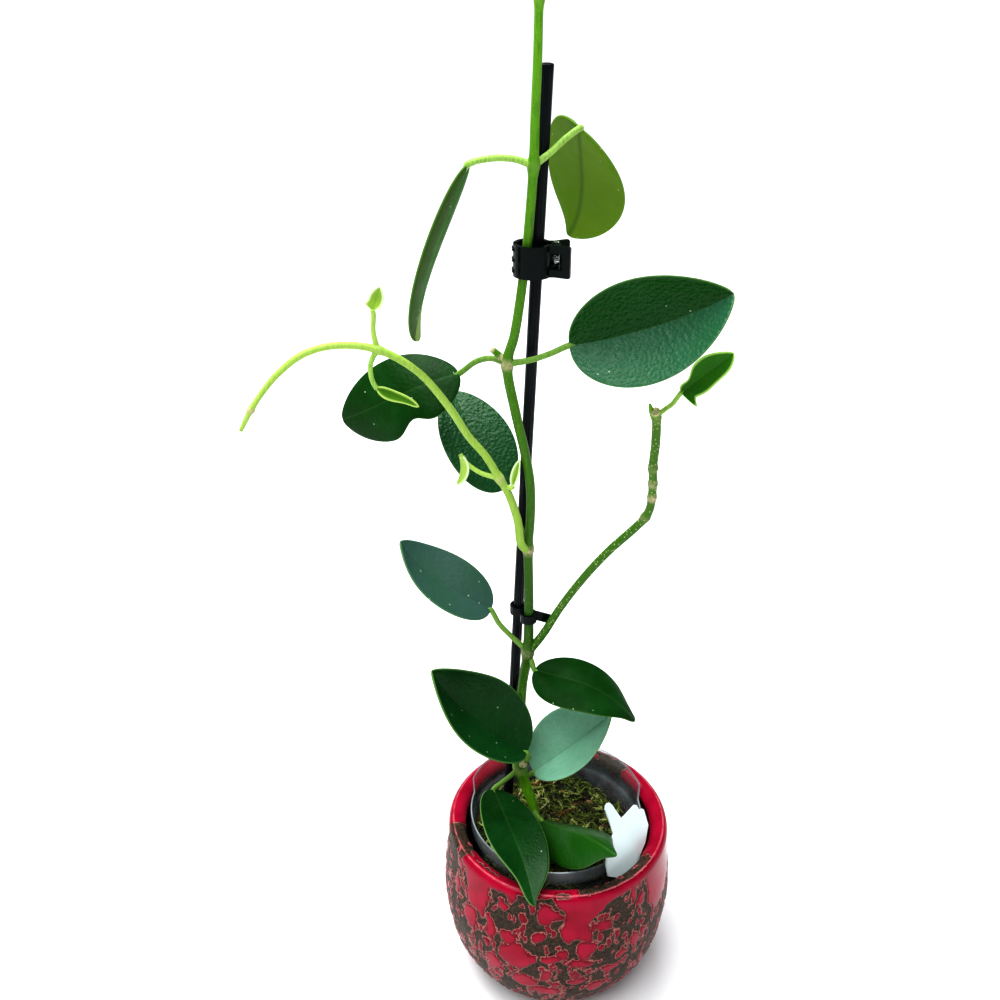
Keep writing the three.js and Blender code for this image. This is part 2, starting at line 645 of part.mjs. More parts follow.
function growingMix() {
  const bottom = POT_FLOOR + 2 * GAP + NURSERY_WALL;
  const rings = [];
  const ring = (radius, height) => {
    const points = [];
    for (let j = 0; j < MIX_SIDES; j += 1) {
      const angle = 2 * Math.PI * j / MIX_SIDES;
      const x = NURSERY_CENTRE[0] + radius * Math.cos(angle);
      const y = NURSERY_CENTRE[1] + radius * Math.sin(angle);
      points.push(new THREE.Vector3(x, y, height(x, y)));
    }
    return points;
  };
  rings.push(ring(mixRadius(bottom), () => bottom));
  rings.push(ring(mixRadius(45), () => 45));
  rings.push(ring(mixRadius(78), () => 78));
  for (let i = MIX_RINGS; i > 0; i -= 1) {
    rings.push(ring(mixRadius(86) * i / (MIX_RINGS + 0.4), mixHeight));
  }
  return solidOf(skinOf(rings));
}

// Plant tags: flat blank plates that stand one behind the other in the gap between the two pots and
// lean inward over the nursery pot. Outlines are in the plate's own plane: across it, and up from the rim.
const TAG_THICKNESS = 0.8;
const TAG_AZIMUTH = -45;
const TAG_LEAN = 18;
const tags = [
  {
    name: 'plant_tag_back', radius: 43.4,
    outline: [
      [2, -14], [9, -14], [11.5, -8], [17.5, -3.5], [22.2, 4], [21.4, 13.6], [20.6, 14.6],
      [18.3, 15.2], [17, 18.8], [15.6, 19.7], [3, 17.6], [1, 15], [1, -8],
    ],
  },
  {
    name: 'plant_tag_front', radius: 44.55,
    outline: [
      [-7, -14], [7, -14], [8, -7.5], [10.4, -4], [5.8, 9.5], [4.6, 17.6],
      [-0.4, 30], [-1.6, 31.8], [-3.2, 32.3], [-4.8, 31.6], [-5.4, 30],
      [-3.6, 15], [-10.6, 9], [-13, 3], [-13.2, -3.4], [-8, -7.5],
    ],
  },
];

function plantTag(tag) {
  const shape = new THREE.Shape(tag.outline.map(([x, y]) => new THREE.Vector2(x, y)));
  const plate = new THREE.ExtrudeGeometry(shape, { depth: TAG_THICKNESS, bevelEnabled: false, steps: 1 });
  plate.translate(0, 0, -TAG_THICKNESS / 2);
  plate.rotateX(Math.PI / 2 - THREE.MathUtils.degToRad(TAG_LEAN));
  plate.translate(0, -tag.radius, 0);
  return solidOf(plate);
}

// Stake
function stakeSolid(grow = 0) {
  const foot = vec(STAKE_FOOT);
  const along = vec(STAKE_TOP).sub(foot);
  const rod = new THREE.CylinderGeometry(STAKE_RADIUS + grow, STAKE_RADIUS + grow, along.length(), 14);
  rod.translate(0, along.length() / 2, 0);
  rod.applyQuaternion(new THREE.Quaternion().setFromUnitVectors(
    new THREE.Vector3(0, 1, 0),
    along.clone().normalize(),
  ));
  rod.translate(foot.x, foot.y, foot.z);
  return solidOf(rod);
}

// Claw clip. Its own plane: +X from the ring's centre to the hinge, the front jaw on the -Y side.
function flatPiece(shape, depth, from) {
  const piece = new THREE.ExtrudeGeometry(shape, { depth, bevelEnabled: false, curveSegments: 7, steps: 1 });
  piece.translate(0, 0, from);
  return solidOf(piece);
}

function jawShape(fromAngle, toAngle) {
  const outer = CLAW_INNER_RADIUS + CLAW_WALL;
  const a = THREE.MathUtils.degToRad(fromAngle);
  const b = THREE.MathUtils.degToRad(toAngle);
  const shape = new THREE.Shape();
  shape.absarc(0, 0, outer, a, b, false);
  shape.absarc(0, 0, CLAW_INNER_RADIUS, b, a, true);
  shape.closePath();
  return shape;
}

// From the end of the ring past the hinge, then out to the thumb
function leverShape(sign) {
  const angle = THREE.MathUtils.degToRad(LEVER_ANGLE) * sign;
  const near = sign * (HINGE_BARREL_RADIUS + GAP + 0.2);
  const far = near + sign * LEVER_THICKNESS;
  const end = [
    HINGE_OFFSET + LEVER_LENGTH * Math.cos(angle),
    near + LEVER_LENGTH * Math.sin(angle),
  ];
  const shape = new THREE.Shape();
  shape.moveTo(CLAW_INNER_RADIUS - 0.6, near);
  shape.lineTo(HINGE_OFFSET, near);
  shape.lineTo(end[0], end[1]);
  shape.lineTo(end[0] - LEVER_THICKNESS * Math.sin(angle) * sign, end[1] + sign * LEVER_THICKNESS);
  shape.lineTo(HINGE_OFFSET - 0.6, far);
  shape.lineTo(CLAW_INNER_RADIUS - 0.6, far);
  shape.closePath();
  return shape;
}

function barrel(from, to, radius = HINGE_BARREL_RADIUS) {
  const tube = new THREE.CylinderGeometry(radius, radius, to - from, 10);
  tube.rotateX(Math.PI / 2);
  tube.translate(HINGE_OFFSET, 0, (from + to) / 2);
  return solidOf(tube);
}

function box(x, y, z, cx, cy, cz) {
  const block = new THREE.BoxGeometry(x, y, z);
  block.translate(cx, cy, cz);
  return solidOf(block);
}

function jawTeeth(sign) {
  const pitch = CLAW_HEIGHT / CLAW_TEETH;
  const teeth = [];
  for (let i = 0; i < CLAW_TEETH; i += 1) {
    const z = pitch * (i + 0.5);
    const tooth = new THREE.SphereGeometry(CLAW_TOOTH_RADIUS, 6, 4);
    tooth.translate(-CLAW_INNER_RADIUS - CLAW_WALL / 2, sign * CLAW_TOOTH_OFFSET, z);
    teeth.push(solidOf(tooth));
  }
  return teeth;
}

// An ear of a jaw: a hinge barrel with a foot that joins it to the lever
function jawEar(sign, from, to) {
  const reach = HINGE_BARREL_RADIUS + GAP + 0.6;
  const foot = box(2.4, reach, to - from, HINGE_OFFSET, sign * reach / 2, (from + to) / 2);
  return barrel(from, to).add(foot);
}

// The side view of a jaw, with rounded corners at the thumb and a window at the hinge
function jawSide() {
  const end = HINGE_OFFSET + LEVER_LENGTH + 1;
  const side = new THREE.Shape();
  side.moveTo(-12, 0);
  side.lineTo(end - THUMB_ROUNDING, 0);
  side.absarc(end - THUMB_ROUNDING, THUMB_ROUNDING, THUMB_ROUNDING, -Math.PI / 2, 0, false);
  side.absarc(end - THUMB_ROUNDING, CLAW_HEIGHT - THUMB_ROUNDING, THUMB_ROUNDING, 0, Math.PI / 2, false);
  side.lineTo(-12, CLAW_HEIGHT);
  side.closePath();
  const plate = new THREE.ExtrudeGeometry(side, { depth: 30, bevelEnabled: false, curveSegments: 4, steps: 1 });
  plate.translate(0, 0, -15);
  plate.rotateX(Math.PI / 2);
  const height = CLAW_HEIGHT - 2 * HINGE_BAR;
  const window = box(5, 30, height, HINGE_OFFSET - 0.2, 0, CLAW_HEIGHT / 2);
  return { outline: solidOf(plate), window };
}

// Both jaws share one shape. The front jaw has the outer ears, the back jaw the inner ones.
function clawJaw(sign) {
  const { outline, window } = jawSide();
  const arc = jawShape(...(sign < 0 ? FRONT_JAW_ARC : BACK_JAW_ARC));
  const hook = flatPiece(arc, CLAW_HEIGHT, 0).subtract(window);
  const whole = flatPiece(leverShape(sign), CLAW_HEIGHT, 0).intersect(outline);
  const lever = sign < 0 ? whole.subtract(window) : whole;
  const quarter = CLAW_HEIGHT / 4;
  const spans = sign < 0
    ? [[0, quarter - GAP / 2], [CLAW_HEIGHT - quarter + GAP / 2, CLAW_HEIGHT]]
    : [
      [quarter + GAP / 2, quarter + INNER_EAR],
      [CLAW_HEIGHT - quarter - INNER_EAR, CLAW_HEIGHT - quarter - GAP / 2],
    ];
  const ears = spans.map(([from, to]) => jawEar(sign, from, to));
  return joined([hook, lever, ...jawTeeth(sign), ...ears])
    .subtract(barrel(-2, CLAW_HEIGHT + 2, HINGE_PIN_RADIUS + GAP));
}

function clawPin() {
  return joined([
    barrel(-PIN_HEAD, CLAW_HEIGHT + PIN_HEAD, HINGE_PIN_RADIUS),
    barrel(-PIN_HEAD, -GAP, PIN_HEAD_RADIUS),
    barrel(CLAW_HEIGHT + GAP, CLAW_HEIGHT + PIN_HEAD, PIN_HEAD_RADIUS),
  ]);
}

// The spring: a few turns of wire round the pin, clear of it and of the inner ears
function clawSpring() {
  const coil = HINGE_PIN_RADIUS + GAP + SPRING_WIRE_RADIUS;
  const from = CLAW_HEIGHT / 4 + INNER_EAR + GAP + SPRING_WIRE_RADIUS;
  const rise = CLAW_HEIGHT - 2 * from;
  const steps = SPRING_TURNS * 10;
  const route = [];
  for (let i = 0; i <= steps; i += 1) {
    const angle = 2 * Math.PI * SPRING_TURNS * i / steps;
    route.push({
      at: [HINGE_OFFSET + coil * Math.cos(angle), coil * Math.sin(angle), from + rise * i / steps],
      radius: SPRING_WIRE_RADIUS,
    });
  }
  return stemAlong(route, 0, 6);
}

// Double ring of the lower clip, with a loose tail
function tieClip() {
  const share = (TIE_HEIGHT - STAKE_FOOT[2]) / (STAKE_TOP[2] - STAKE_FOOT[2]);
  const stakeAt = vec(STAKE_FOOT).lerp(vec(STAKE_TOP), share);
  const stemAt = vec([...TIE_STEM_CENTRE, TIE_HEIGHT]);
  const ring = (centre, hole) => {
    const shape = new THREE.Shape();
    shape.absarc(centre.x, centre.y, hole + TIE_WALL, 0, 2 * Math.PI, false);
    return flatPiece(shape, TIE_THICKNESS, TIE_HEIGHT - TIE_THICKNESS / 2);
  };
  const hole = (centre, radius) => {
    const shape = new THREE.Shape();
    shape.absarc(centre.x, centre.y, radius, 0, 2 * Math.PI, false);
    return flatPiece(shape, TIE_THICKNESS + 2, TIE_HEIGHT - TIE_THICKNESS / 2 - 1);
  };
  const stakeHole = STAKE_RADIUS + GAP + TIE_SLACK;
  const stemHole = TIE_STEM_RADIUS + GAP + TIE_SLACK;
  const bridge = box(TIE_BRIDGE.length, TIE_BRIDGE.width, TIE_THICKNESS, 0, 0, 0)
    .rotate([0, 0, TIE_BRIDGE.turn])
    .translate([(stakeAt.x + stemAt.x) / 2, (stakeAt.y + stemAt.y) / 2, TIE_HEIGHT]);
  const tail = box(TIE_TAIL.length, TIE_TAIL.width, TIE_THICKNESS, 0, 0, 0)
    .rotate([0, TIE_TAIL.droop, TIE_TAIL.turn])
    .translate(stemAt.clone().add(vec(TIE_TAIL.offset)).toArray());
  return joined([ring(stakeAt, stakeHole), ring(stemAt, stemHole), bridge, tail])
    .subtract(hole(stakeAt, stakeHole))
    .subtract(hole(stemAt, stemHole));
}

// Everything that grows
const growth = {
  main: { route: mainRoute, nodes: mainNodes, stubs: mainStubs },
  left: { route: leftRoute, nodes: leftNodes, stubs: [] },
  right: { route: rightRoute, nodes: rightNodes, stubs: [] },
};

const grown = (name) => stemSolid(growth[name], GAP);

function mainStem() {
  return joined([stemSolid(growth.main), ...topSprouts.map(sproutSolid)]);
}

function leftRunner() {
  return joined([stemSolid(growth.left), ...runnerSprouts.map(sproutSolid)]).subtract(grown('main'));
}

function rightShoot() {
  return stemSolid(growth.right).subtract(grown('main'));
}

const model = new THREE.Group();

function addGroup(x, y, z, turn = 0) {
  const group = new THREE.Group();
  group.position.set(x, y, z);
  group.rotation.z = THREE.MathUtils.degToRad(turn);
  model.add(group);
  return group;
}

function addPiece(parent, name, solid, color, roughness, metalness = 0, opacity = 1) {
  const material = new THREE.MeshStandardMaterial({
    color, roughness, metalness, opacity, transparent: opacity < 1,
  });
  const mesh = new THREE.Mesh(geometryOf(solid), material);
  mesh.name = name;
  parent.add(mesh);
}

addPiece(model, 'ceramic_pot', ceramicPot(), 0x8c1424, 0.3);

const nursery = addGroup(...NURSERY_CENTRE, 0);
addPiece(nursery, 'nursery_pot', nurseryPot(), 0xc9d2d2, 0.2, 0, 0.35);

const stemInMix = grown('main');
const mix = growingMix().subtract(stemInMix).subtract(stakeSolid(GAP));
addPiece(model, 'growing_mix', mix, 0x4a4a20, 0.95);

const tagGroup = addGroup(0, 0, NURSERY_TOP, TAG_AZIMUTH + 90);
tags.forEach((tag) => addPiece(tagGroup, tag.name, plantTag(tag), 0xe6f2f6, 0.45));

addPiece(model, 'stake', stakeSolid(), 0x10181f, 0.4);
addPiece(model, 'tie_clip', tieClip(), 0x0c1414, 0.45);

const claw = addGroup(...CLAW_CENTRE, CLAW_BOTTOM);
addPiece(claw, 'claw_front_jaw', clawJaw(-1), 0x0a1a18, 0.35);
addPiece(claw, 'claw_back_jaw', clawJaw(1), 0x0a1a18, 0.35);
addPiece(claw, 'claw_pin', clawPin(), 0xb8bcc0, 0.3, 1);
addPiece(claw, 'claw_spring', clawSpring(), 0xc6cacc, 0.25, 1);

addPiece(model, 'main_stem', mainStem(), 0x5f9a28, 0.5);
addPiece(model, 'left_runner', leftRunner(), 0x9ac83c, 0.5);
addPiece(model, 'right_shoot', rightShoot(), 0x74a83a, 0.5);

const stems = joined([stemInMix, grown('left'), grown('right')]);
leaves.forEach((leaf) => {
  const young = leaf.halfWidth < YOUNG_HALF_WIDTH;
  const steps = young ? YOUNG_BLADE_STEPS : BLADE_STEPS;
  const solid = leafSolid(leaf, young ? YOUNG_STALK_RADIUS : STALK_RADIUS, steps, BLADE_STRIPS);
  addPiece(model, leaf.name, solid.subtract(stems), leaf.color, 0.4);
});

export default model;
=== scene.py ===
import math
import random
from functools import partial

import bpy
import numpy as np
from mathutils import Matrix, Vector, noise


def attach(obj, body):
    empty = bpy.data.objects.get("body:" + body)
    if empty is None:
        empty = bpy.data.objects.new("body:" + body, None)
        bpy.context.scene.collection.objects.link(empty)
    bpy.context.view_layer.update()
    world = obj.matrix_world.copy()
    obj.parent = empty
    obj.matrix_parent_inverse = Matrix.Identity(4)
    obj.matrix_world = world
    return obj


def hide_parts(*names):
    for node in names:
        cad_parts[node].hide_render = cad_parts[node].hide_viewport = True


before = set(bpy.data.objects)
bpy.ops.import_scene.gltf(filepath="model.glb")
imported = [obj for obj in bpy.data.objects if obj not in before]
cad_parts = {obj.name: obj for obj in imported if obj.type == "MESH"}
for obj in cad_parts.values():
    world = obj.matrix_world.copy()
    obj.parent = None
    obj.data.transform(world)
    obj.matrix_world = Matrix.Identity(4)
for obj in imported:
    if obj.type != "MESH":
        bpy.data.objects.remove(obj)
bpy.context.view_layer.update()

mm = 0.001
print("part loaded, nodes:", len(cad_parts))


# Colours, materials and meshes: small helpers

def linearColour(hexValue):
    parts = [int(hexValue[i:i + 2], 16) / 255 for i in (1, 3, 5)]
    return tuple(c / 12.92 if c <= 0.04045 else ((c + 0.055) / 1.055) ** 2.4 for c in parts) + (1.0,)


def perMm(size):
    # texture scale, in turns per metre, that gives a pattern of this many millimetres
    return 1 / (size * mm)


def addNode(tree, kind, values, out=0):
    # values are settings by name and inputs by name or number, and an input may be another node's output
    made = tree.nodes.new("ShaderNode" + kind)
    for name, value in values.items():
        if isinstance(value, bpy.types.NodeSocket):
            tree.links.new(value, made.inputs[name])
        elif isinstance(name, str) and hasattr(made, name):
            setattr(made, name, value)
        else:
            made.inputs[name].default_value = linearColour(value) if isinstance(value, str) else value
    return made.outputs[out] if len(made.outputs) else None


# Settings that many nodes share. Inputs by number: in Math 0 and 1; in Mix 0 is the share, 6 and 7 are the
# colours and output 2 is the blend; in MapRange 0 is the value, 1 to 2 its range and 3 to 4 the new one.
times = {"operation": "MULTIPLY"}
plus = {"operation": "ADD"}
blend = {"data_type": "RGBA"}
smooth = {"interpolation_type": "SMOOTHSTEP"}


def newMaterial(name):
    material = bpy.data.materials.new(name)
    material.use_nodes = True
    material.node_tree.nodes.clear()
    add = partial(addNode, material.node_tree)
    return material, add, add("TexCoord", {}, "Object")


def meshPiece(name, points, faces, values=None):
    # points in millimetres
    mesh = bpy.data.meshes.new(name)
    mesh.from_pydata((np.asarray(points, float) * mm).tolist(), [], faces)
    mesh.validate()
    mesh.shade_smooth()
    for key, numbers in (values or {}).items():
        attribute = mesh.attributes.new(key, "FLOAT", "POINT")
        attribute.data.foreach_set("value", np.asarray(numbers, np.float32))
    made = bpy.data.objects.new(name, mesh)
    bpy.context.scene.collection.objects.link(made)
    return made


def fit(piece, material, nodes=(), body="root"):
    piece.data.materials.append(material)
    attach(piece, body)
    if nodes:
        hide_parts(*nodes)
    return piece


def ringFaces(rows, sides, start=0):
    # the faces between rings of points that follow each other
    faces = []
    for i in range(rows - 1):
        for j in range(sides):
            a = start + i * sides + j
            b = start + i * sides + (j + 1) % sides
            faces.append((a, b, b + sides, a + sides))
    return faces


def closedRings(rows, sides, start=0, flip=False):
    # the same with a flat face over the first ring and over the last
    faces = ringFaces(rows, sides, start)
    faces.append(tuple(range(start, start + sides))[::-1])
    faces.append(tuple(range(start + (rows - 1) * sides, start + rows * sides)))
    return [face[::-1] for face in faces] if flip else faces


def unit(vector):
    return vector / np.linalg.norm(vector, axis=-1, keepdims=True)


def ringsAlong(route, radii, sides, hint):
    # rings of points round a route, each turned as little as it can be from the one before
    along = unit(np.gradient(np.asarray(route, float), axis=0))
    side = np.cross(along[0], hint)
    rings = []
    for centre, direction, radius in zip(route, along, radii):
        side = unit(side - direction * side.dot(direction))
        up = np.cross(direction, side)
        for j in range(sides):
            a = 2 * math.pi * j / sides
            rings.append(centre + radius * (side * math.cos(a) + up * math.sin(a)))
    return rings, along


def noiseAt(points, size, shift=0.0):
    # smooth noise from -1 to 1 that changes over about this many millimetres
    return np.array([noise.noise(Vector((x / size + shift, y / size, z / size))) for x, y, z in points])


# Camera: 39.6 mm lens on a 36 mm frame, 28.5 degrees down, standing in front of the plant

cameraView = {"lens": 39.6, "sensor": 36, "place": (-0.0306, -0.432, 0.520), "down": 28.5}

camera = bpy.data.objects.new("camera", bpy.data.cameras.new("camera"))
camera.data.lens = cameraView["lens"]
camera.data.sensor_width = cameraView["sensor"]
camera.location = cameraView["place"]
camera.rotation_euler = (math.radians(90 - cameraView["down"]), 0, 0)
camera.data.clip_start = 0.01
camera.data.clip_end = 100
bpy.context.scene.collection.objects.link(camera)
bpy.context.scene.camera = camera
print("camera set")


# Outer pot: stoneware with red glaze run over a dark one

potDesign = {
    "outer": [(40, 1.2), (44.3, 5.6), (50.8, 14.5), (56.9, 28), (60.3, 50), (59.8, 68), (58.3, 83),
              (57.6, 93)],
    "inner": [(48.4, 92), (51, 84), (53.2, 70), (53.7, 50), (49.8, 28), (42, 12.5), (35, 7)],
    "height": 97, "crest": 54.2, "foot": 38.5, "floor": 7,
    "sides": 430, "lipSteps": 40, "step": 0.78, "innerStep": 1.1, "coarseStep": 6, "glazeDepth": 0.45,
    "patternRadius": 58, "glazeInside": 60, "glazeOutside": 106, "fineInside": 9, "mediumInside": 36,
    "largePatches": 54, "smallPatches": 1700, "noRed": -9,
    "red": ("#94042a", "#a80c36"), "thinRed": "#6e0018", "dark": ("#241c15", "#4d4232"), "rust": "#3b2a24",
    # the lip line colour is a painted highlight on the crest, where the glaze also runs thin
    "edge": "#c07a74", "lipHighlightAndThinGlaze": "#d8707c", "darkRoughness": 0.5, "redRoughness": 0.13, "relief": 0.35,
}
# Edges of the big runs from the rim: (millimetres down from the crest, azimuth in degrees)
glazeRuns = [
    {"left": [(0, -95), (7, -92), (10, -90), (17, -90), (24, -92), (29, -89)],
     "right": [(3, -40), (5, -52), (8, -66), (12, -73), (19, -78), (28, -76)], "end": 29},
    {"left": [(0, -149), (8, -147), (22, -144), (30, -138)],
     "right": [(0, -113), (3, -117), (7, -128), (12, -130), (21, -128), (30, -132)], "end": 28},
    {"left": [(0, -42), (12, -43), (25, -40), (34, -38)],
     "right": [(0, 22), (14, 4), (20, -12), (28, -20), (38, -30)], "end": 34},
    {"left": [(0, 14), (12, 26), (30, 34), (44, 40)],
     "right": [(0, 84), (10, 66), (24, 58), (44, 46)], "end": 42},
    {"left": [(0, 96), (10, 104), (24, 112), (33, 114)],
     "right": [(0, 172), (8, 150), (16, 132), (33, 122)], "end": 33},
]
# Red stretches of the lip: from azimuth, to azimuth, from and to millimetres across the crest (+ is inward)
lipRuns = [
    (-126, -80, -2.6, 8), (-31, 41, -7, 11), (80, 186, -7, 11), (-150, -112, -7, -0.5), (-150, -126, 1.4, 8),
    (-90, -38, -7, -1.6),
]
# Bare stretches of the lip: from and to azimuth, from and to millimetres down from the crest
bareLips = [(-81, -33, -12, 1.4), (-172, -151, -12, 1.5), (42, 79, -12, 3), (-93, -86, -0.6, 2.4)]
# Large patches on the front: azimuth, millimetres down, half width, half height
frontPatches = [
    (-97, 13, 5, 6.5), (-120, 15, 3.6, 3.4), (-127, 31, 3, 6.5), (-140, 35, 5, 7), (-113, 44, 7, 9),
    (-105, 42, 3, 3), (-95, 41, 5, 3), (-101, 28, 4, 4.5), (-69, 23, 4.5, 4), (-78, 35, 5, 6.5),
    (-80, 45, 7, 3), (-82, 59, 4.5, 3), (-98, 55, 3.5, 4.5), (-98, 69, 9, 4), (-52, 11, 2.2, 6.5),
    (-46, 18, 2, 5), (-51, 42, 4, 5), (-64, 55, 6.5, 3), (-90, 38, 2.5, 3), (-61, 20, 1.7, 1.7),
    (-151, 10, 2.5, 2.5), (-117, 33, 4, 3.6), (-154, 23, 2, 4.4), (-158, -6, 2.2, 1.7), (-70, -4.6, 1.7, 1.4),
    (-63, -4.8, 1.4, 1.2), (-55, -5.2, 1.8, 1.3), (-43, -1.8, 1.4, 1.3), (62, -2.4, 2, 1.5),
    (53, 0, 1.8, 1.5), (-108, 62, 6, 5), (-125, 56, 5, 6), (-72, 68, 5, 4),
]


def smoothCurve2d(stops, steps):
    # evenly spaced spline through the stops
    points = []
    last = len(stops) - 1
    for k in range(steps + 1):
        t = k / steps * last
        i = min(int(t), last - 1)
        w = t - i
        p = [np.array(stops[max(0, min(last, i + d))], float) for d in (-1, 0, 1, 2)]
        v0, v1 = (p[2] - p[0]) / 2, (p[3] - p[1]) / 2
        a = 2 * p[1] - 2 * p[2] + v0 + v1
        b = -3 * p[1] + 3 * p[2] - 2 * v0 - v1
        points.append(a * w ** 3 + b * w ** 2 + v0 * w + p[1])
    return points


def potProfile():
    shape = potDesign
    outer = smoothCurve2d(shape["outer"], 200)
    inner = smoothCurve2d(shape["inner"], 200)
    lip = []
    for k in range(1, shape["lipSteps"]):
        angle = math.pi * k / shape["lipSteps"]
        side = shape["outer"][-1] if angle <= math.pi / 2 else shape["inner"][0]
        lip.append(np.array((
            shape["crest"] + (side[0] - shape["crest"]) * abs(math.cos(angle)),
            side[1] + (shape["height"] - side[1]) * math.sin(angle),
        )))
    foot = [(0.01, 0), (shape["foot"] * 0.5, 0), (shape["foot"], 0)]
    line = [np.array(p, float) for p in foot] + outer + lip + inner + [np.array((0.01, shape["floor"]))]
    line = np.array(line)
    along = np.concatenate([[0], np.cumsum(np.linalg.norm(np.diff(line, axis=0), axis=1))])
    crest = along[len(foot) + len(outer) + shape["lipSteps"] // 2 - 1]
    outerStart = along[len(foot)]
    stops = list(along[:len(foot)])
    # fine rings outside and over the lip, wider ones down the inside
    fine, medium = crest + shape["fineInside"], crest + shape["mediumInside"]
    stops += list(np.arange(outerStart, fine, shape["step"]))
    stops += list(np.arange(fine + 0.5, medium, shape["innerStep"]))
    stops += list(np.arange(medium + 2, along[-1], shape["coarseStep"])) + [along[-1]]
    r = np.interp(stops, along, line[:, 0])
    z = np.interp(stops, along, line[:, 1])
    return r, z, np.array(stops) - crest


def insidePatch(across, down, halfWidth, halfHeight):
    # about how far inside an oval patch, in millimetres
    reach = np.sqrt((across / halfWidth) ** 2 + (down / halfHeight) ** 2)
    return (1 - reach) * min(halfWidth, halfHeight)


def glazeField(points, azimuth, down):
    # millimetres inside the red glaze, negative outside it
    arc = math.radians(1) * potDesign["patternRadius"]
    # how far the edges wander, in millimetres, sideways and then up or down
    slow = noiseAt(points, 9) * 2.6 + noiseAt(points, 3.2, 40) * 1.0
    slowDown = noiseAt(points, 8, 80) * 2.6 + noiseAt(points, 3.0, 120) * 1.2
    az = azimuth + slow / arc
    low = down + slowDown
    red = np.full(len(az), float(potDesign["noRed"]))
    wrap = np.where(az < -150, az + 360, az)  # for what runs on past the seam at the back
    for run in glazeRuns:
        left = np.interp(low, [s[0] for s in run["left"]], [s[1] for s in run["left"]])
        right = np.interp(low, [s[0] for s in run["right"]], [s[1] for s in run["right"]])
        here = wrap if run["right"][0][1] > 100 else az
        inside = np.minimum.reduce([(here - left) * arc, (right - here) * arc, run["end"] - low, low + 7])
        red = np.maximum(red, inside)
    red = np.where(down < -1.2, potDesign["noRed"], red)
    for fromAz, toAz, fromAcross, toAcross in lipRuns:
        here = wrap if toAz > 100 else az
        inside = np.minimum.reduce([
            (here - fromAz) * arc,
            (toAz - here) * arc,
            -down - slowDown * 0.9 - fromAcross,
            toAcross + down + slowDown * 0.5,
        ])
        red = np.maximum(red, inside)
    for fromAz, toAz, fromDown, toDown in bareLips:
        inside = np.minimum.reduce([
            (azimuth + slow * 0.4 - fromAz) * arc,
            (toAz - azimuth - slow * 0.4) * arc,
            down - fromDown,
            toDown + slowDown * 0.2 - down,
        ])
        red = np.minimum(red, -inside)
    # the large patches of the sides and back are random, and so are the small ones all round
    draw = random.Random(11)
    patches = list(frontPatches)
    for k in range(potDesign["largePatches"]):
        side = draw.uniform(-28, 198)
        patches.append((side, draw.uniform(14, 104), draw.uniform(2.6, 6.5), draw.uniform(2.6, 7)))
    for k in range(potDesign["smallPatches"]):
        size = 0.55 * math.exp(draw.uniform(0, 1.2))
        outside = draw.random() < 0.86
        drop = draw.uniform(5, 106) if outside else draw.uniform(-34, -10)
        patches.append((draw.uniform(-180, 180), drop, size, size * draw.uniform(1.0, 2.6)))
    for centre, drop, halfWidth, halfHeight in patches:
        gap = (az - centre + 180) % 360 - 180
        near = (np.abs(gap) * arc < halfWidth * 1.6 + 2) & (np.abs(low - drop) < halfHeight * 1.6 + 2)
        found = insidePatch(gap[near] * arc, low[near] - drop, halfWidth, halfHeight)
        red[near] = np.maximum(red[near], found)
    return red


def outerPot():
    r, z, across = potProfile()
    sides = potDesign["sides"]
    angle = np.linspace(0, 2 * math.pi, sides, endpoint=False)
    rows = len(r)
    grid = np.zeros((rows, sides, 3))
    grid[..., 0] = r[:, None] * np.cos(angle)
    grid[..., 1] = r[:, None] * np.sin(angle)
    grid[..., 2] = z[:, None]
    points = grid.reshape(-1, 3)
    azimuth = np.degrees(np.arctan2(points[:, 1], points[:, 0]))
    down = np.repeat(-across, sides)
    red = glazeField(points, azimuth, down)
    # the red glaze stands a little proud of the dark one, which has shallow pits, and both stay within the
    # pot's own outline
    slopeR, slopeZ = np.gradient(r), np.gradient(z)
    length = np.maximum(np.hypot(slopeR, slopeZ), 1e-6)
    outR, outZ = np.repeat(slopeZ / length, sides), np.repeat(-slopeR / length, sides)
    glazed = (down < potDesign["glazeOutside"]) & (down > -potDesign["glazeInside"]) & (r.repeat(sides) > 5)
    t = np.clip((red + 0.35) / 0.8, 0, 1)  # the step at the edge is 0.8 mm wide
    lift = np.where(glazed, (t * t * (3 - 2 * t) - 1) * potDesign["glazeDepth"], 0)
    lift += np.where(glazed, np.minimum(noiseAt(points, 2.0, 7) * 0.07 - 0.05, 0) * (1 - t), 0)
    points = points + np.stack([
        outR * np.cos(np.radians(azimuth)) * lift,
        outR * np.sin(np.radians(azimuth)) * lift,
        outZ * lift,
    ], 1)
    points[:, 2] = np.maximum(points[:, 2], 0)
    faces = ringFaces(rows, sides)
    bottom = len(points)
    points = np.vstack([points, [[0, 0, 0], [0, 0, potDesign["floor"]]]])
    last = (rows - 1) * sides
    faces += [(bottom, (j + 1) % sides, j) for j in range(sides)]
    faces += [(bottom + 1, last + j, last + (j + 1) % sides) for j in range(sides)]
    # the two middles have no red on them and are far from the crest
    farDown = 99
    values = {"redGlaze": np.append(red, [potDesign["noRed"]] * 2), "crest": np.append(down, [farDown] * 2)}
    return meshPiece("outer_pot", points, faces, values)


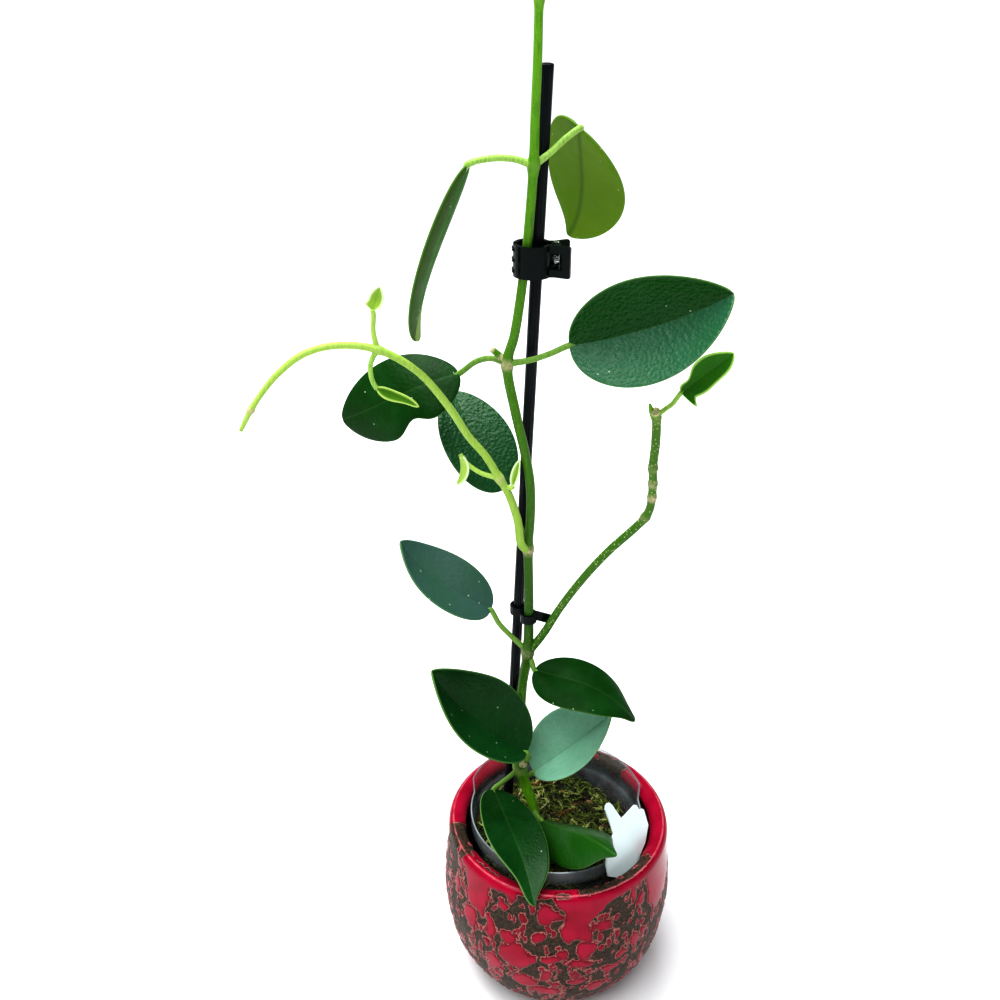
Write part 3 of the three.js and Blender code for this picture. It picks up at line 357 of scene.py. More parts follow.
def glazedStoneware():
    # Stoneware, glazed twice and fired: a wet-looking red that has run and pulled apart over a satin
    # brown-black one, with a thin pale line where the red ends. The eye sees gloss against matt.
    look = potDesign
    material, add, place = newMaterial("glazedStoneware")
    ragged = add("TexNoise", {"Vector": place, "Scale": perMm(1.7), "Detail": 4, "Roughness": 0.55})
    ragged = add("Math", {"operation": "SUBTRACT", 0: ragged, 1: 0.5})
    ragged = add("Math", {**times, 0: ragged, 1: 2.4})
    red = add("Attribute", {"attribute_name": "redGlaze"}, "Fac")
    red = add("Math", {**plus, 0: red, 1: ragged})
    # small red specks, in some places more than in others
    speck = add("TexNoise", {"Vector": place, "Scale": perMm(1.1), "Detail": 2, "Roughness": 0.4})
    speckled = add("TexNoise", {"Vector": place, "Scale": perMm(9), "Detail": 3, "Roughness": 0.55})
    speckled = add("MapRange", {**smooth, 0: speckled, 1: 0.48, 2: 0.56})
    specks = add("MapRange", {**smooth, 0: speck, 1: 0.66, 2: 0.68})
    specks = add("Math", {**times, 0: specks, 1: speckled})
    isRed = add("MapRange", {**smooth, 0: red, 1: -0.08, 2: 0.08})
    isRed = add("Math", {"operation": "MAXIMUM", 0: isRed, 1: specks})
    # the pale line round the red and, fainter, round the specks
    outward = add("MapRange", {**smooth, 0: red, 1: -0.34, 2: -0.1})
    inward = add("MapRange", {**smooth, 0: red, 1: 0.2, 2: 0.02})
    edge = add("Math", {**times, 0: outward, 1: inward})
    outward = add("MapRange", {**smooth, 0: speck, 1: 0.635, 2: 0.655})
    inward = add("MapRange", {**smooth, 0: speck, 1: 0.69, 2: 0.67})
    speckEdge = add("Math", {**times, 0: outward, 1: inward})
    onDark = add("MapRange", {**smooth, 0: red, 1: 0.1, 2: -0.2, 3: 0, 4: 0.35})
    speckEdge = add("Math", {**times, 0: speckEdge, 1: onDark})
    edge = add("Math", {"operation": "MAXIMUM", 0: edge, 1: speckEdge})
    edge = add("Math", {**times, 0: edge, 1: 0.75})
    # the red one, darker where it is thin
    pooled = add("TexNoise", {"Vector": place, "Scale": perMm(14), "Detail": 3, "Roughness": 0.55})
    pooled = add("MapRange", {**smooth, 0: pooled, 1: 0.35, 2: 0.7})
    thick = add("Mix", {**blend, 0: pooled, 6: look["red"][0], 7: look["red"][1]}, 2)
    inside = add("MapRange", {**smooth, 0: red, 1: 0.1, 2: 1.6})
    thick = add("Mix", {**blend, 0: inside, 6: look["thinRed"], 7: thick}, 2)
    # the brown-black one, with rusty clouds
    mottle = add("TexNoise", {"Vector": place, "Scale": perMm(1.6), "Detail": 5, "Roughness": 0.7})
    mottle = add("MapRange", {**smooth, 0: mottle, 1: 0.35, 2: 0.68})
    dark = add("Mix", {**blend, 0: mottle, 6: look["dark"][0], 7: look["dark"][1]}, 2)
    rusty = add("TexNoise", {"Vector": place, "Scale": perMm(7), "Detail": 3, "Roughness": 0.55})
    rusty = add("MapRange", {**smooth, 0: rusty, 1: 0.5, 2: 0.75})
    dark = add("Mix", {**blend, 0: rusty, 6: dark, 7: look["rust"]}, 2)
    colour = add("Mix", {**blend, 0: isRed, 6: dark, 7: thick}, 2)
    colour = add("Mix", {**blend, 0: edge, 6: colour, 7: look["edge"]}, 2)
    # painted highlight over the sharpest turn of the lip, where the glaze also runs thin and pale
    turn = add("Attribute", {"attribute_name": "crest"}, "Fac")
    turn = add("Math", {"operation": "SUBTRACT", 0: turn, 1: 1.0})
    turn = add("Math", {"operation": "ABSOLUTE", 0: turn})
    turn = add("MapRange", {**smooth, 0: turn, 1: 0.75, 2: 0.1})
    broken = add("TexNoise", {"Vector": place, "Scale": perMm(6), "Detail": 3, "Roughness": 0.55})
    broken = add("MapRange", {**smooth, 0: broken, 1: 0.35, 2: 0.6, 3: 0.2, 4: 0.7})
    crestHighlightAndThinGlaze = add("Math", {**times, 0: turn, 1: broken})
    colour = add("Mix", {**blend, 0: crestHighlightAndThinGlaze, 6: colour, 7: look["lipHighlightAndThinGlaze"]}, 2)
    roughRange = {3: look["darkRoughness"], 4: look["redRoughness"]}
    rough = add("MapRange", {**smooth, 0: isRed, 1: 0, 2: 1, **roughRange})
    # the dark one is pitted, and the red one stands proud of it
    pits = add("TexNoise", {"Vector": place, "Scale": perMm(0.9), "Detail": 4, "Roughness": 0.7})
    pitted = add("MapRange", {**smooth, 0: isRed, 1: 0, 2: 1, 3: 0.35, 4: 0.03})
    pits = add("Math", {**times, 0: pits, 1: pitted})
    step = add("MapRange", {**smooth, 0: red, 1: -0.3, 2: 0.5})
    step = add("Math", {**times, 0: step, 1: 0.5})
    height = add("Math", {**plus, 0: pits, 1: step})
    relief = add("Bump", {"Strength": 1, "Distance": look["relief"] * mm, "Height": height})
    surface = add("BsdfPrincipled", {
        "IOR": 1.5, "Specular IOR Level": 0.12, "Base Color": colour, "Roughness": rough, "Normal": relief,
    })
    add("OutputMaterial", {"Surface": surface})
    return material


fit(outerPot(), glazedStoneware(), ["ceramic_pot"])
print("outer pot made")


# Nursery pot: thin clear plastic

nurseryDesign = {
    "centre": (-1.2, 2.4), "top": 99, "radius": 45, "footRadius": 31.5, "foot": 7.3,
    "collar": 10, "collarStep": 1.4, "wall": 0.8, "sides": 240,
    "back": {"top": 106.4, "radius": 46.3, "from": 8, "to": 165, "soft": 3},
    "tint": ("#8a949c", "#b4bec2"), "haze": (0.08, 0.19), "scuffs": 0.14, "collarHaze": 0.4, "rimHaze": 0.35,
}


def nurseryPot():
    shape = nurseryDesign
    collarFoot = shape["top"] - shape["collar"]
    neck = shape["radius"] - shape["collarStep"]
    foot, wide = shape["foot"], shape["footRadius"]
    # outside line from the middle of the floor up the wall and over the collar's step, then the inside back
    outer = [(0.01, foot), (wide - 3.5, foot), (wide - 0.9, foot + 0.2), (wide, foot + 1)]
    outer += [(wide + (neck - wide) * t, foot + (collarFoot - foot) * t)
              for t in (0.1, 0.3, 0.5, 0.7, 0.9, 1)]
    outer += [(neck + 0.5, collarFoot + 0.5), (shape["radius"] - 0.3, collarFoot + 1.1)]
    outer += [(shape["radius"], collarFoot + 1.7), (shape["radius"], shape["top"] - 0.9)]
    rimStart = len(outer)
    outer += [(shape["radius"], shape["top"] - 0.3), (shape["radius"] - 0.1, shape["top"])]
    inner = []
    for r, z in outer[:-1]:
        onWall = z > 20
        inside = r - shape["wall"] if r > 1 else r
        inner.append((inside, min(z + (0.2 if onWall else shape["wall"]), shape["top"] - 0.3)))
    inner = inner[::-1]
    profile = np.array(outer + [(shape["radius"] - 0.6, shape["top"])] + inner)
    angle = np.linspace(0, 2 * math.pi, shape["sides"], endpoint=False)
    rows = len(profile)
    # the back half stands higher than the front, which is creased down over the collar
    back = shape["back"]
    azimuth = np.degrees(angle)
    up = np.clip((azimuth - back["from"]) / back["soft"], 0, 1)
    up = up * np.clip((back["to"] - azimuth) / back["soft"], 0, 1)
    atRim = np.zeros(rows)
    atRim[rimStart:rimStart + 4] = 1
    lift = atRim[:, None] * up * (back["top"] - shape["top"])
    flare = atRim[:, None] * up * (back["radius"] - shape["radius"])
    # thin sheet is never quite round
    wave = 1 + 0.0035 * np.sin(3 * angle + 0.6) * np.clip((profile[:, 1, None] - 40) / 60, 0, 1)
    grid = np.zeros((rows, shape["sides"], 3))
    grid[..., 0] = shape["centre"][0] + (profile[:, 0, None] + flare) * np.cos(angle) * wave
    grid[..., 1] = shape["centre"][1] + (profile[:, 0, None] + flare) * np.sin(angle) * wave
    grid[..., 2] = profile[:, 1, None] + lift
    faces = closedRings(rows, shape["sides"])
    values = {"rim": np.repeat(atRim, shape["sides"]), "front": np.tile(1 - up, rows)}
    return meshPiece("clear_nursery_pot", grid.reshape(-1, 3), faces, values)


def clearSheetPlastic():
    # Thermoformed clear sheet: you look through it, with a grey haze, scuffs and a bright line at its rim
    look = nurseryDesign
    material, add, place = newMaterial("clearSheetPlastic")
    haze = add("TexNoise", {"Vector": place, "Scale": perMm(12), "Detail": 4, "Roughness": 0.55})
    scuffs = add("TexNoise", {"Vector": place, "Scale": perMm(1.5), "Detail": 3, "Roughness": 0.7})
    colour = add("Mix", {**blend, 0: haze, 6: look["tint"][0], 7: look["tint"][1]}, 2)
    height = add("SeparateXYZ", {"Vector": place}, "Z")
    collarFoot = (look["top"] - look["collar"]) * mm
    collarRange = {1: collarFoot, 2: collarFoot + 5 * mm, 3: 0, 4: look["collarHaze"]}
    collar = add("MapRange", {**smooth, 0: height, **collarRange})
    front = add("Attribute", {"attribute_name": "front"}, "Fac")
    collar = add("Math", {**times, 0: collar, 1: front})
    rim = add("Attribute", {"attribute_name": "rim"}, "Fac")
    rim = add("MapRange", {**smooth, 0: rim, 1: 0.75, 2: 1, 3: 0, 4: look["rimHaze"]})
    rim = add("Math", {**plus, 0: collar, 1: rim})
    scuffed = add("MapRange", {**smooth, 0: scuffs, 1: 0.6, 2: 0.8, 3: 0, 4: look["scuffs"]})
    cloudy = add("MapRange", {**smooth, 0: haze, 1: 0.3, 2: 0.7, 3: look["haze"][0], 4: look["haze"][1]})
    cloudy = add("Math", {**plus, 0: cloudy, 1: scuffed})
    solid = add("Math", {**plus, 0: cloudy, 1: rim})
    surface = add("BsdfPrincipled", {"IOR": 1.46, "Roughness": 0.12, "Base Color": colour, "Alpha": solid})
    add("OutputMaterial", {"Surface": surface})
    return material


fit(nurseryPot(), clearSheetPlastic(), ["nursery_pot"])
print("nursery pot made")


# Growing mix: dark bark and moss with loose yellow-green strands on top

mixDesign = {
    "top": 82, "bump": 2.6, "heap": 9, "heapAt": (-14, 4), "heapSpread": 420,
    "strands": 2150, "chunks": 60, "sides": 150, "rings": 60, "clump": 6.5,
    "wallHeights": (8.6, 20, 32, 44, 56, 68, 76, 80), "chunkRings": 5, "chunkSides": 7,
    "chunkSize": ((1.2, 3.4), (0.8, 1.8), (0.5, 1.2)),
    "strandLength": (3.5, 8.5), "strandRadius": (0.26, 0.6),
    "peat": ("#0b0905", "#2f2813"), "crumb": "#43441a", "bark": ("#2b1f14", "#8a6d46"), "fibre": "#4a3a24",
    "moss": ("#131d05", "#74892c"), "straw": "#d0d884", "rust": "#8a5a20", "shade": "#1d2406",
}


def mixTop(x, y):
    shape = mixDesign
    lumps = math.sin(x * 0.31 + 1.2) * math.cos(y * 0.27) + 0.6 * math.sin(x * 0.63 - y * 0.52)
    away = (x - shape["heapAt"][0]) ** 2 + (y - shape["heapAt"][1]) ** 2
    return shape["top"] + shape["bump"] * 0.5 * lumps + shape["heap"] * math.exp(-away / shape["heapSpread"])


def mixWall(z):
    # radius of the mix at this height, a little inside the nursery pot's wall
    neck = nurseryDesign["radius"] - nurseryDesign["collarStep"]
    collarFoot = nurseryDesign["top"] - nurseryDesign["collar"]
    share = (z - nurseryDesign["foot"]) / (collarFoot - nurseryDesign["foot"])
    return nurseryDesign["footRadius"] + (neck - nurseryDesign["footRadius"]) * share - 1.5


def growingMix():
    # rings up the wall, then smaller and smaller ones over the heaped top
    shape = mixDesign
    cx, cy = nurseryDesign["centre"]
    angle = np.linspace(0, 2 * math.pi, shape["sides"], endpoint=False)
    points = []
    for z in shape["wallHeights"]:
        points += [(cx + mixWall(z) * math.cos(a), cy + mixWall(z) * math.sin(a), z) for a in angle]
    wallRows = len(shape["wallHeights"])
    topRadius = mixWall(shape["top"])
    for k in range(shape["rings"], 0, -1):
        r = topRadius * k / (shape["rings"] + 0.5)
        points += [(cx + r * math.cos(a), cy + r * math.sin(a), 0) for a in angle]
    points = np.array(points)
    rough = noiseAt(points, 4.0) * 1.5 + noiseAt(points, 1.6, 30) * 0.7
    start = wallRows * shape["sides"]
    for i in range(start, len(points)):
        points[i, 2] = mixTop(points[i, 0], points[i, 1]) + rough[i] - 0.8
    pull = 1 + np.where(np.arange(len(points)) < start, np.minimum(rough, 0) * 0.012, 0)
    points[:, 0] = cx + (points[:, 0] - cx) * pull
    points[:, 1] = cy + (points[:, 1] - cy) * pull
    faces = closedRings(wallRows + shape["rings"], shape["sides"])
    return meshPiece("moss_and_bark", points, faces)


def tuft(points, faces, route, radii):
    # a small closed three-sided strand along a route, tapered
    faces += closedRings(len(route), 3, len(points))
    points += ringsAlong(route, radii, 3, (0.31, 0.53, 0.79))[0]
    return 3 * len(route)


def placeInMix(draw, margin):
    # a random place on the mix, at least this far from its wall
    r = (mixWall(mixDesign["top"]) - margin) * math.sqrt(draw.random())
    a = draw.uniform(0, 2 * math.pi)
    cx, cy = nurseryDesign["centre"]
    return cx + r * math.cos(a), cy + r * math.sin(a)


def mossStrands():
    # each strand turns and sinks over four steps, with a pair of short leaves at each step's end
    draw = random.Random(5)
    cx, cy = nurseryDesign["centre"]
    limit = mixWall(mixDesign["top"]) - 0.8
    points, faces, tone = [], [], []
    for k in range(mixDesign["strands"]):
        x, y = placeInMix(draw, 1.5)
        clump = noise.noise(Vector((x, y, 20)) / mixDesign["clump"])
        # lifted strands get painted light and sunken ones painted shade, over a random tone
        colour = min(max(draw.random() * 0.75 + clump * 0.9 + 0.02, 0), 1)
        heading = draw.uniform(0, 2 * math.pi)
        rise = draw.uniform(-0.2, 0.9)
        length = draw.uniform(*mixDesign["strandLength"])
        place = np.array((x, y, mixTop(x, y) + draw.uniform(-1.8, 0.6) + clump * 3.2))
        turn, fall = draw.uniform(-0.7, 0.7), draw.uniform(0.2, 0.7)
        route = [place]
        for step in range(4):
            heading += turn * draw.uniform(0.3, 1.4)
            rise -= fall * 0.5
            move = np.array((math.cos(heading), math.sin(heading), rise))
            place = place + move / np.linalg.norm(move) * length / 4
            away = math.hypot(place[0] - cx, place[1] - cy)
            if away > limit:
                place[0] = cx + (place[0] - cx) * limit / away
                place[1] = cy + (place[1] - cy) * limit / away
            route.append(place)
        thick = draw.uniform(*mixDesign["strandRadius"])
        made = tuft(points, faces, route, [thick, thick * 1.1, thick, thick * 0.8, thick * 0.3])
        for step in range(1, 5):
            for side in (-1, 1):
                spread = heading + side * draw.uniform(0.5, 1.1)
                out = np.array((math.cos(spread), math.sin(spread), draw.uniform(-0.2, 0.8)))
                tip = route[step] + out * draw.uniform(0.9, 2.0)
                made += tuft(points, faces, [route[step], tip], [0.3, 0.05])
        tone += [colour] * made
    return meshPiece("moss_strands", points, faces, {"tone": tone})


def barkChunks():
    # flat lumps with uneven corners, turned and tilted at random
    draw = random.Random(9)
    rings, sides = mixDesign["chunkRings"], mixDesign["chunkSides"]
    points, faces, tone = [], [], []
    for k in range(mixDesign["chunks"]):
        x, y = placeInMix(draw, 4)
        size = np.array([draw.uniform(*reach) for reach in mixDesign["chunkSize"]])
        turn = draw.uniform(0, math.pi)
        tip = draw.uniform(-0.5, 0.5)
        centre = np.array((x, y, mixTop(x, y) + draw.uniform(-1.2, 0.4)))
        start = len(points)
        for i in range(rings):
            polar = math.pi * (i + 0.6) / (rings + 0.2)
            ring, height = math.sin(polar), math.cos(polar)
            for j in range(sides):
                b = 2 * math.pi * j / sides
                corner = (ring * math.cos(b), ring * math.sin(b), height)
                along, across, tall = size * np.array(corner) * draw.uniform(0.82, 1.15)
                points.append(centre + np.array((
                    along * math.cos(turn) - across * math.sin(turn),
                    along * math.sin(turn) + across * math.cos(turn),
                    tall + along * tip,
                )))
        faces += closedRings(rings, sides, start, flip=True)
        tone += [draw.random()] * (rings * sides)
    return meshPiece("bark_chunks", points, faces, {"tone": tone})


def wetBark():
    # Composted bark and peat under the moss: nearly black gaps with brown and olive crumbs
    look = mixDesign
    material, add, place = newMaterial("wetBark")
    crumbs = add("TexNoise", {"Vector": place, "Scale": perMm(1.8), "Detail": 5, "Roughness": 0.7})
    share = add("MapRange", {**smooth, 0: crumbs, 1: 0.42, 2: 0.72})
    colour = add("Mix", {**blend, 0: share, 6: look["peat"][0], 7: look["peat"][1]}, 2)
    olive = add("TexNoise", {"Vector": place, "Scale": perMm(3.4), "Detail": 4, "Roughness": 0.55})
    olive = add("MapRange", {**smooth, 0: olive, 1: 0.58, 2: 0.68})
    colour = add("Mix", {**blend, 0: olive, 6: colour, 7: look["crumb"]}, 2)
    relief = add("Bump", {"Strength": 1, "Distance": 0.8 * mm, "Height": crumbs})
    surface = add("BsdfPrincipled", {"Roughness": 0.85, "IOR": 1.4, "Base Color": colour, "Normal": relief})
    add("OutputMaterial", {"Surface": surface})
    return material


def brokenBark():
    # Pine bark broken small: dull brown, paler and fibrous on the broken faces
    look = mixDesign
    material, add, place = newMaterial("brokenBark")
    tone = add("Attribute", {"attribute_name": "tone"}, "Fac")
    tone = add("MapRange", {**smooth, 0: tone, 1: 0.55, 2: 0.95})
    colour = add("Mix", {**blend, 0: tone, 6: look["bark"][0], 7: look["bark"][1]}, 2)
    fibres = add("TexNoise", {"Vector": place, "Scale": perMm(0.8), "Detail": 3, "Roughness": 0.55})
    fibres = add("MapRange", {**smooth, 0: fibres, 1: 0.5, 2: 0.7})
    colour = add("Mix", {**blend, 0: fibres, 6: colour, 7: look["fibre"]}, 2)
    splinters = add("TexNoise", {"Vector": place, "Scale": perMm(0.7), "Detail": 4, "Roughness": 0.55})
    relief = add("Bump", {"Strength": 1, "Distance": 0.3 * mm, "Height": splinters})
    surface = add("BsdfPrincipled", {"Roughness": 0.8, "IOR": 1.4, "Base Color": colour, "Normal": relief})
    add("OutputMaterial", {"Surface": surface})
    return material


def cushionMoss():
    # Living moss: each strand is a slightly different yellow green, dry ones straw and rust, with no shine;
    # strands lifted on the clumps carry painted light and sunken ones painted shade
    look = mixDesign
    material, add, place = newMaterial("cushionMoss")
    tone = add("Attribute", {"attribute_name": "tone"}, "Fac")
    green = add("MapRange", {0: tone, 1: 0, 2: 0.6})
    colour = add("Mix", {**blend, 0: green, 6: look["moss"][0], 7: look["moss"][1]}, 2)
    dry = add("MapRange", {**smooth, 0: tone, 1: 0.6, 2: 0.85})
    colour = add("Mix", {**blend, 0: dry, 6: colour, 7: look["straw"]}, 2)
    dead = add("MapRange", {**smooth, 0: tone, 1: 0.95, 2: 0.99})
    colour = add("Mix", {**blend, 0: dead, 6: colour, 7: look["rust"]}, 2)
    shade = add("TexNoise", {"Vector": place, "Scale": perMm(0.8), "Detail": 3, "Roughness": 0.55})
    shade = add("Math", {**times, 0: shade, 1: 0.55})
    colour = add("Mix", {**blend, 0: shade, 6: colour, 7: look["shade"]}, 2)
    surface = add("BsdfPrincipled", {"Roughness": 0.75, "IOR": 1.4, "Base Color": colour})
    add("OutputMaterial", {"Surface": surface})
    return material


fit(growingMix(), wetBark(), ["growing_mix"])
fit(barkChunks(), brokenBark())
fit(mossStrands(), cushionMoss())
print("growing mix made")


# Stems: smooth tubes along the same routes as the part's

# Skins are the old colour, the young colour and how clear the pale dots are
stemDesign = {
    "sides": 20, "steps": 12, "knobbles": 0.018, "dots": "#d9e8a4", "scar": "#cdbf9a",
    "mainSkin": ("#235006", "#74b61c", 0.08), "runnerSkin": ("#7aa42a", "#b4d468", 0.06),
    "shootSkin": ("#2c6208", "#8cb84a", 0.5), "stalkSkin": ("#346a10", "#a4cc64", 0.1),
}
# Each stop is a place in millimetres, the radius there, and how green (0 old, 1 young)
mainRoute = [
    ((-10, 3, 40), 2.2, 1), ((-11, 3.5, 70), 2.5, 1), ((-12, 4, 93), 2.6, 1), ((-17, 5, 112), 2.7, 0.9),
    ((-20.5, 5, 126), 2.9, 0.6), ((-20.2, 9.2, 156), 2.5, 0.4), ((-19.2, 10.3, 175), 2.4, 0.2),
    ((-17, 6, 197), 2.5, 0.15), ((-16.8, 5, 222), 2.3, 0.1), ((-17.2, 4, 243), 2.2, 0.15),
    ((-17.6, 3, 260), 2.2, 0.2),
    ((-16.8, 2.4, 276), 2.1, 0.2), ((-17.2, 1.5, 293), 2.1, 0.25), ((-20, 1, 310), 2.1, 0.3),
    ((-24, 1, 328), 2.1, 0.35), ((-27.6, 1, 350), 2.1, 0.4), ((-24.6, 0.3, 363), 2, 0.45),
    ((-21.2, -0.4, 388), 1.9, 0.5), ((-19.6, -1.2, 404), 1.9, 0.55), ((-17.8, -3, 432), 1.9, 0.65),
    ((-17.5, -4.4, 450), 1.8, 0.75), ((-17, -6, 469), 1.7, 0.8), ((-16.8, -8, 490), 1.6, 0.85),
    ((-16, -10, 512), 1.5, 0.9), ((-14.5, -11, 534), 1.3, 1),
]
leftRoute = [
    ((-17.7, 3, 257), 2, 0.5), ((-21, -0.4, 263), 1.9, 0.55), ((-22.6, -0.4, 275), 1.9, 0.6),
    ((-27, 0, 289), 1.8, 0.65), ((-31, -1, 297), 1.8, 0.7), ((-37, -1, 308), 1.7, 0.7),
    ((-44, -1, 317), 1.7, 0.75), ((-52, -2, 331), 1.7, 0.8), ((-65, -3, 348), 1.6, 0.8),
    ((-81, -5, 358.5), 1.6, 0.85), ((-98, -7, 361), 1.5, 0.9),
    ((-111, -9, 358), 1.5, 0.95), ((-122, -11, 350), 1.4, 1), ((-129, -12, 342), 1.3, 1),
    ((-134, -13, 335), 1.3, 1), ((-139, -14, 326), 0.9, 1),
]
rightRoute = [
    ((-17, 6, 197), 2.1, 0.1), ((-10, 4.4, 209), 2, 0.1), ((-2.1, 2, 226.1), 1.9, 0.15),
    ((5.1, 0, 239.6), 1.9, 0.15), ((13.3, -2, 252.9), 1.9, 0.15), ((20.2, -3.5, 262.5), 1.9, 0.15),
    ((29.3, -5.5, 273.7), 1.9, 0.15), ((33.8, -7, 280.5), 1.9, 0.2), ((35.6, -7.6, 286), 1.9, 0.2),
    ((35.9, -8, 298), 1.9, 0.3), ((35.4, -8, 306), 1.9, 0.3), ((35.8, -8, 318), 2, 0.25),
    ((35.3, -8, 329.6), 2, 0.5), ((34.3, -9.5, 333), 1.9, 0.9),
]
# Swellings: place, radius, stretch, how much dry scar shows there
mainKnots = [
    ((-20.6, 4.6, 124), 3.9, 1.5, 0.25), ((-16.9, 6, 198), 3.4, 1.3, 0.3), ((-17.6, 3, 258), 2.9, 1, 0.8),
    ((-27.4, 1, 350), 2.9, 1.1, 0.7), ((-17.8, -3, 432), 2.7, 1.1, 0.1), ((-16.8, -8, 490), 2.1, 1, 0.1),
]
leftKnots = [((-31, -1, 297), 2.4, 1, 0.4), ((-81, -5, 358.5), 2.2, 1, 0.1), ((-134, -13, 335), 1.8, 1, 0.8)]
rightKnots = [
    ((33.8, -7, 280.5), 2.4, 0.8, 0.2), ((36, -8, 291), 2.3, 0.7, 0.9), ((35.8, -8, 298), 2.3, 0.7, 0.5),
    ((35.3, -8, 305.5), 2.4, 0.7, 0.2), ((35.3, -8, 329.6), 2.3, 0.9, 0.1), ((34.3, -9.5, 333), 1.9, 0.5, 1),
]


def smoothRoute(stops, steps):
    # centripetal spline through the stops; returns the points and each one's place among the stops
    p = [np.array(s, float) for s in stops]
    p = [2 * p[0] - p[1]] + p + [2 * p[-1] - p[-2]]
    points, shares = [], []
    for i in range(1, len(p) - 2):
        a, b, c, d = p[i - 1:i + 3]
        d0, d1, d2 = (max(np.linalg.norm(v) ** 0.5, 1e-4) for v in (b - a, c - b, d - c))
        t1 = ((b - a) / d0 - (c - a) / (d0 + d1) + (c - b) / d1) * d1
        t2 = ((c - b) / d1 - (d - b) / (d1 + d2) + (d - c) / d2) * d1
        last = i == len(p) - 3
        for k in range(steps + (1 if last else 0)):
            w = k / steps
            square, cube = -3 * b + 3 * c - 2 * t1 - t2, 2 * b - 2 * c + t1 + t2
            points.append(b + t1 * w + square * w ** 2 + cube * w ** 3)
            shares.append(i - 1 + w)
    return np.array(points), np.array(shares)


def tube(name, points, radii, values, sides):
    # closed tube through the points, flat at its first end and rounded at its last
    rings, along = ringsAlong(points, radii, sides, (0.1, 0.9, 0.3))
    numbers = {key: list(np.repeat(perRing, sides)) for key, perRing in values.items()}
    rows = len(points)
    faces = ringFaces(rows, sides)
    for row, bulge in ((0, -0.05), (rows - 1, 0.45)):
        tip = len(rings)
        rings.append(points[row] + along[row] * radii[row] * bulge)
        for key, perRing in values.items():
            numbers[key].append(perRing[row])
        for j in range(sides):
            a, b = row * sides + j, row * sides + (j + 1) % sides
            faces.append((tip, b, a) if row == 0 else (tip, a, b))
    return meshPiece(name, rings, faces, numbers)


def stemTube(name, route, knots):
    points, shares = smoothRoute([s[0] for s in route], stemDesign["steps"])
    index = np.arange(len(route))
    radii = np.interp(shares, index, [s[1] for s in route])
    young = np.interp(shares, index, [s[2] for s in route])
    scar = np.zeros(len(points))
    # each knot swells the tube near its place, and a dry one shows a scar there
    for place, radius, stretch, dry in knots:
        away = np.linalg.norm(points - np.array(place), axis=1)
        near = np.exp(-(away / (radius * stretch * 0.85)) ** 2)
        base = radii[np.argmin(away)]
        radii = radii + np.maximum(radius - base, 0.15) * near
        scar = np.maximum(scar, dry * np.exp(-(away / (radius * 0.75)) ** 4))
    # fine knobbles, as on any living stem
    radii = radii * (1 + stemDesign["knobbles"] * noiseAt(points, 3.0, 3))
    return tube(name, points, radii, {"young": young, "scar": scar}, stemDesign["sides"])


def livingStem(name, old, young, flecks):
    # Herbaceous stem: waxy skin with fine lengthwise streaks, pale dots and dry beige scars at its joints
    look = stemDesign
    material, add, place = newMaterial(name)
    age = add("Attribute", {"attribute_name": "young"}, "Fac")
    colour = add("Mix", {**blend, 0: age, 6: old, 7: young}, 2)
    stretched = add("Mapping", {"Vector": place, "Scale": (1, 1, 0.12)})
    streak = add("TexNoise", {"Vector": stretched, "Scale": perMm(0.9), "Detail": 3, "Roughness": 0.55})
    streaked = add("MapRange", {**smooth, 0: streak, 1: 0.4, 2: 0.7, 3: 0, 4: 0.35})
    colour = add("Mix", {**blend, 0: streaked, 6: colour, 7: old}, 2)
    spots = add("TexVoronoi", {"Vector": place, "Scale": perMm(1.5), "Randomness": 1}, "Distance")
    dots = add("MapRange", {**smooth, 0: spots, 1: 0.3, 2: 0.16, 3: 0, 4: flecks})
    colour = add("Mix", {**blend, 0: dots, 6: colour, 7: look["dots"]}, 2)
    flaking = add("TexNoise", {"Vector": place, "Scale": perMm(1.6), "Detail": 3, "Roughness": 0.55})
    flaking = add("MapRange", {**smooth, 0: flaking, 1: 0.3, 2: 0.6, 3: 0.3, 4: 1.1})
    scar = add("Attribute", {"attribute_name": "scar"}, "Fac")
    scar = add("Math", {**times, 0: scar, 1: flaking})
    colour = add("Mix", {**blend, 0: scar, 6: colour, 7: look["scar"]}, 2)
    rough = add("MapRange", {**smooth, 0: scar, 1: 0, 2: 1, 3: 0.36, 4: 0.8})
    raisedDots = add("Math", {**times, 0: dots, 1: 0.6})
    height = add("Math", {**plus, 0: streak, 1: raisedDots})
    relief = add("Bump", {"Strength": 1, "Distance": 0.12 * mm, "Height": height})
    surface = add("BsdfPrincipled", {
        "IOR": 1.42, "Specular IOR Level": 0.25, "Base Color": colour, "Roughness": rough, "Normal": relief,
    })
    add("OutputMaterial", {"Surface": surface})
    return material


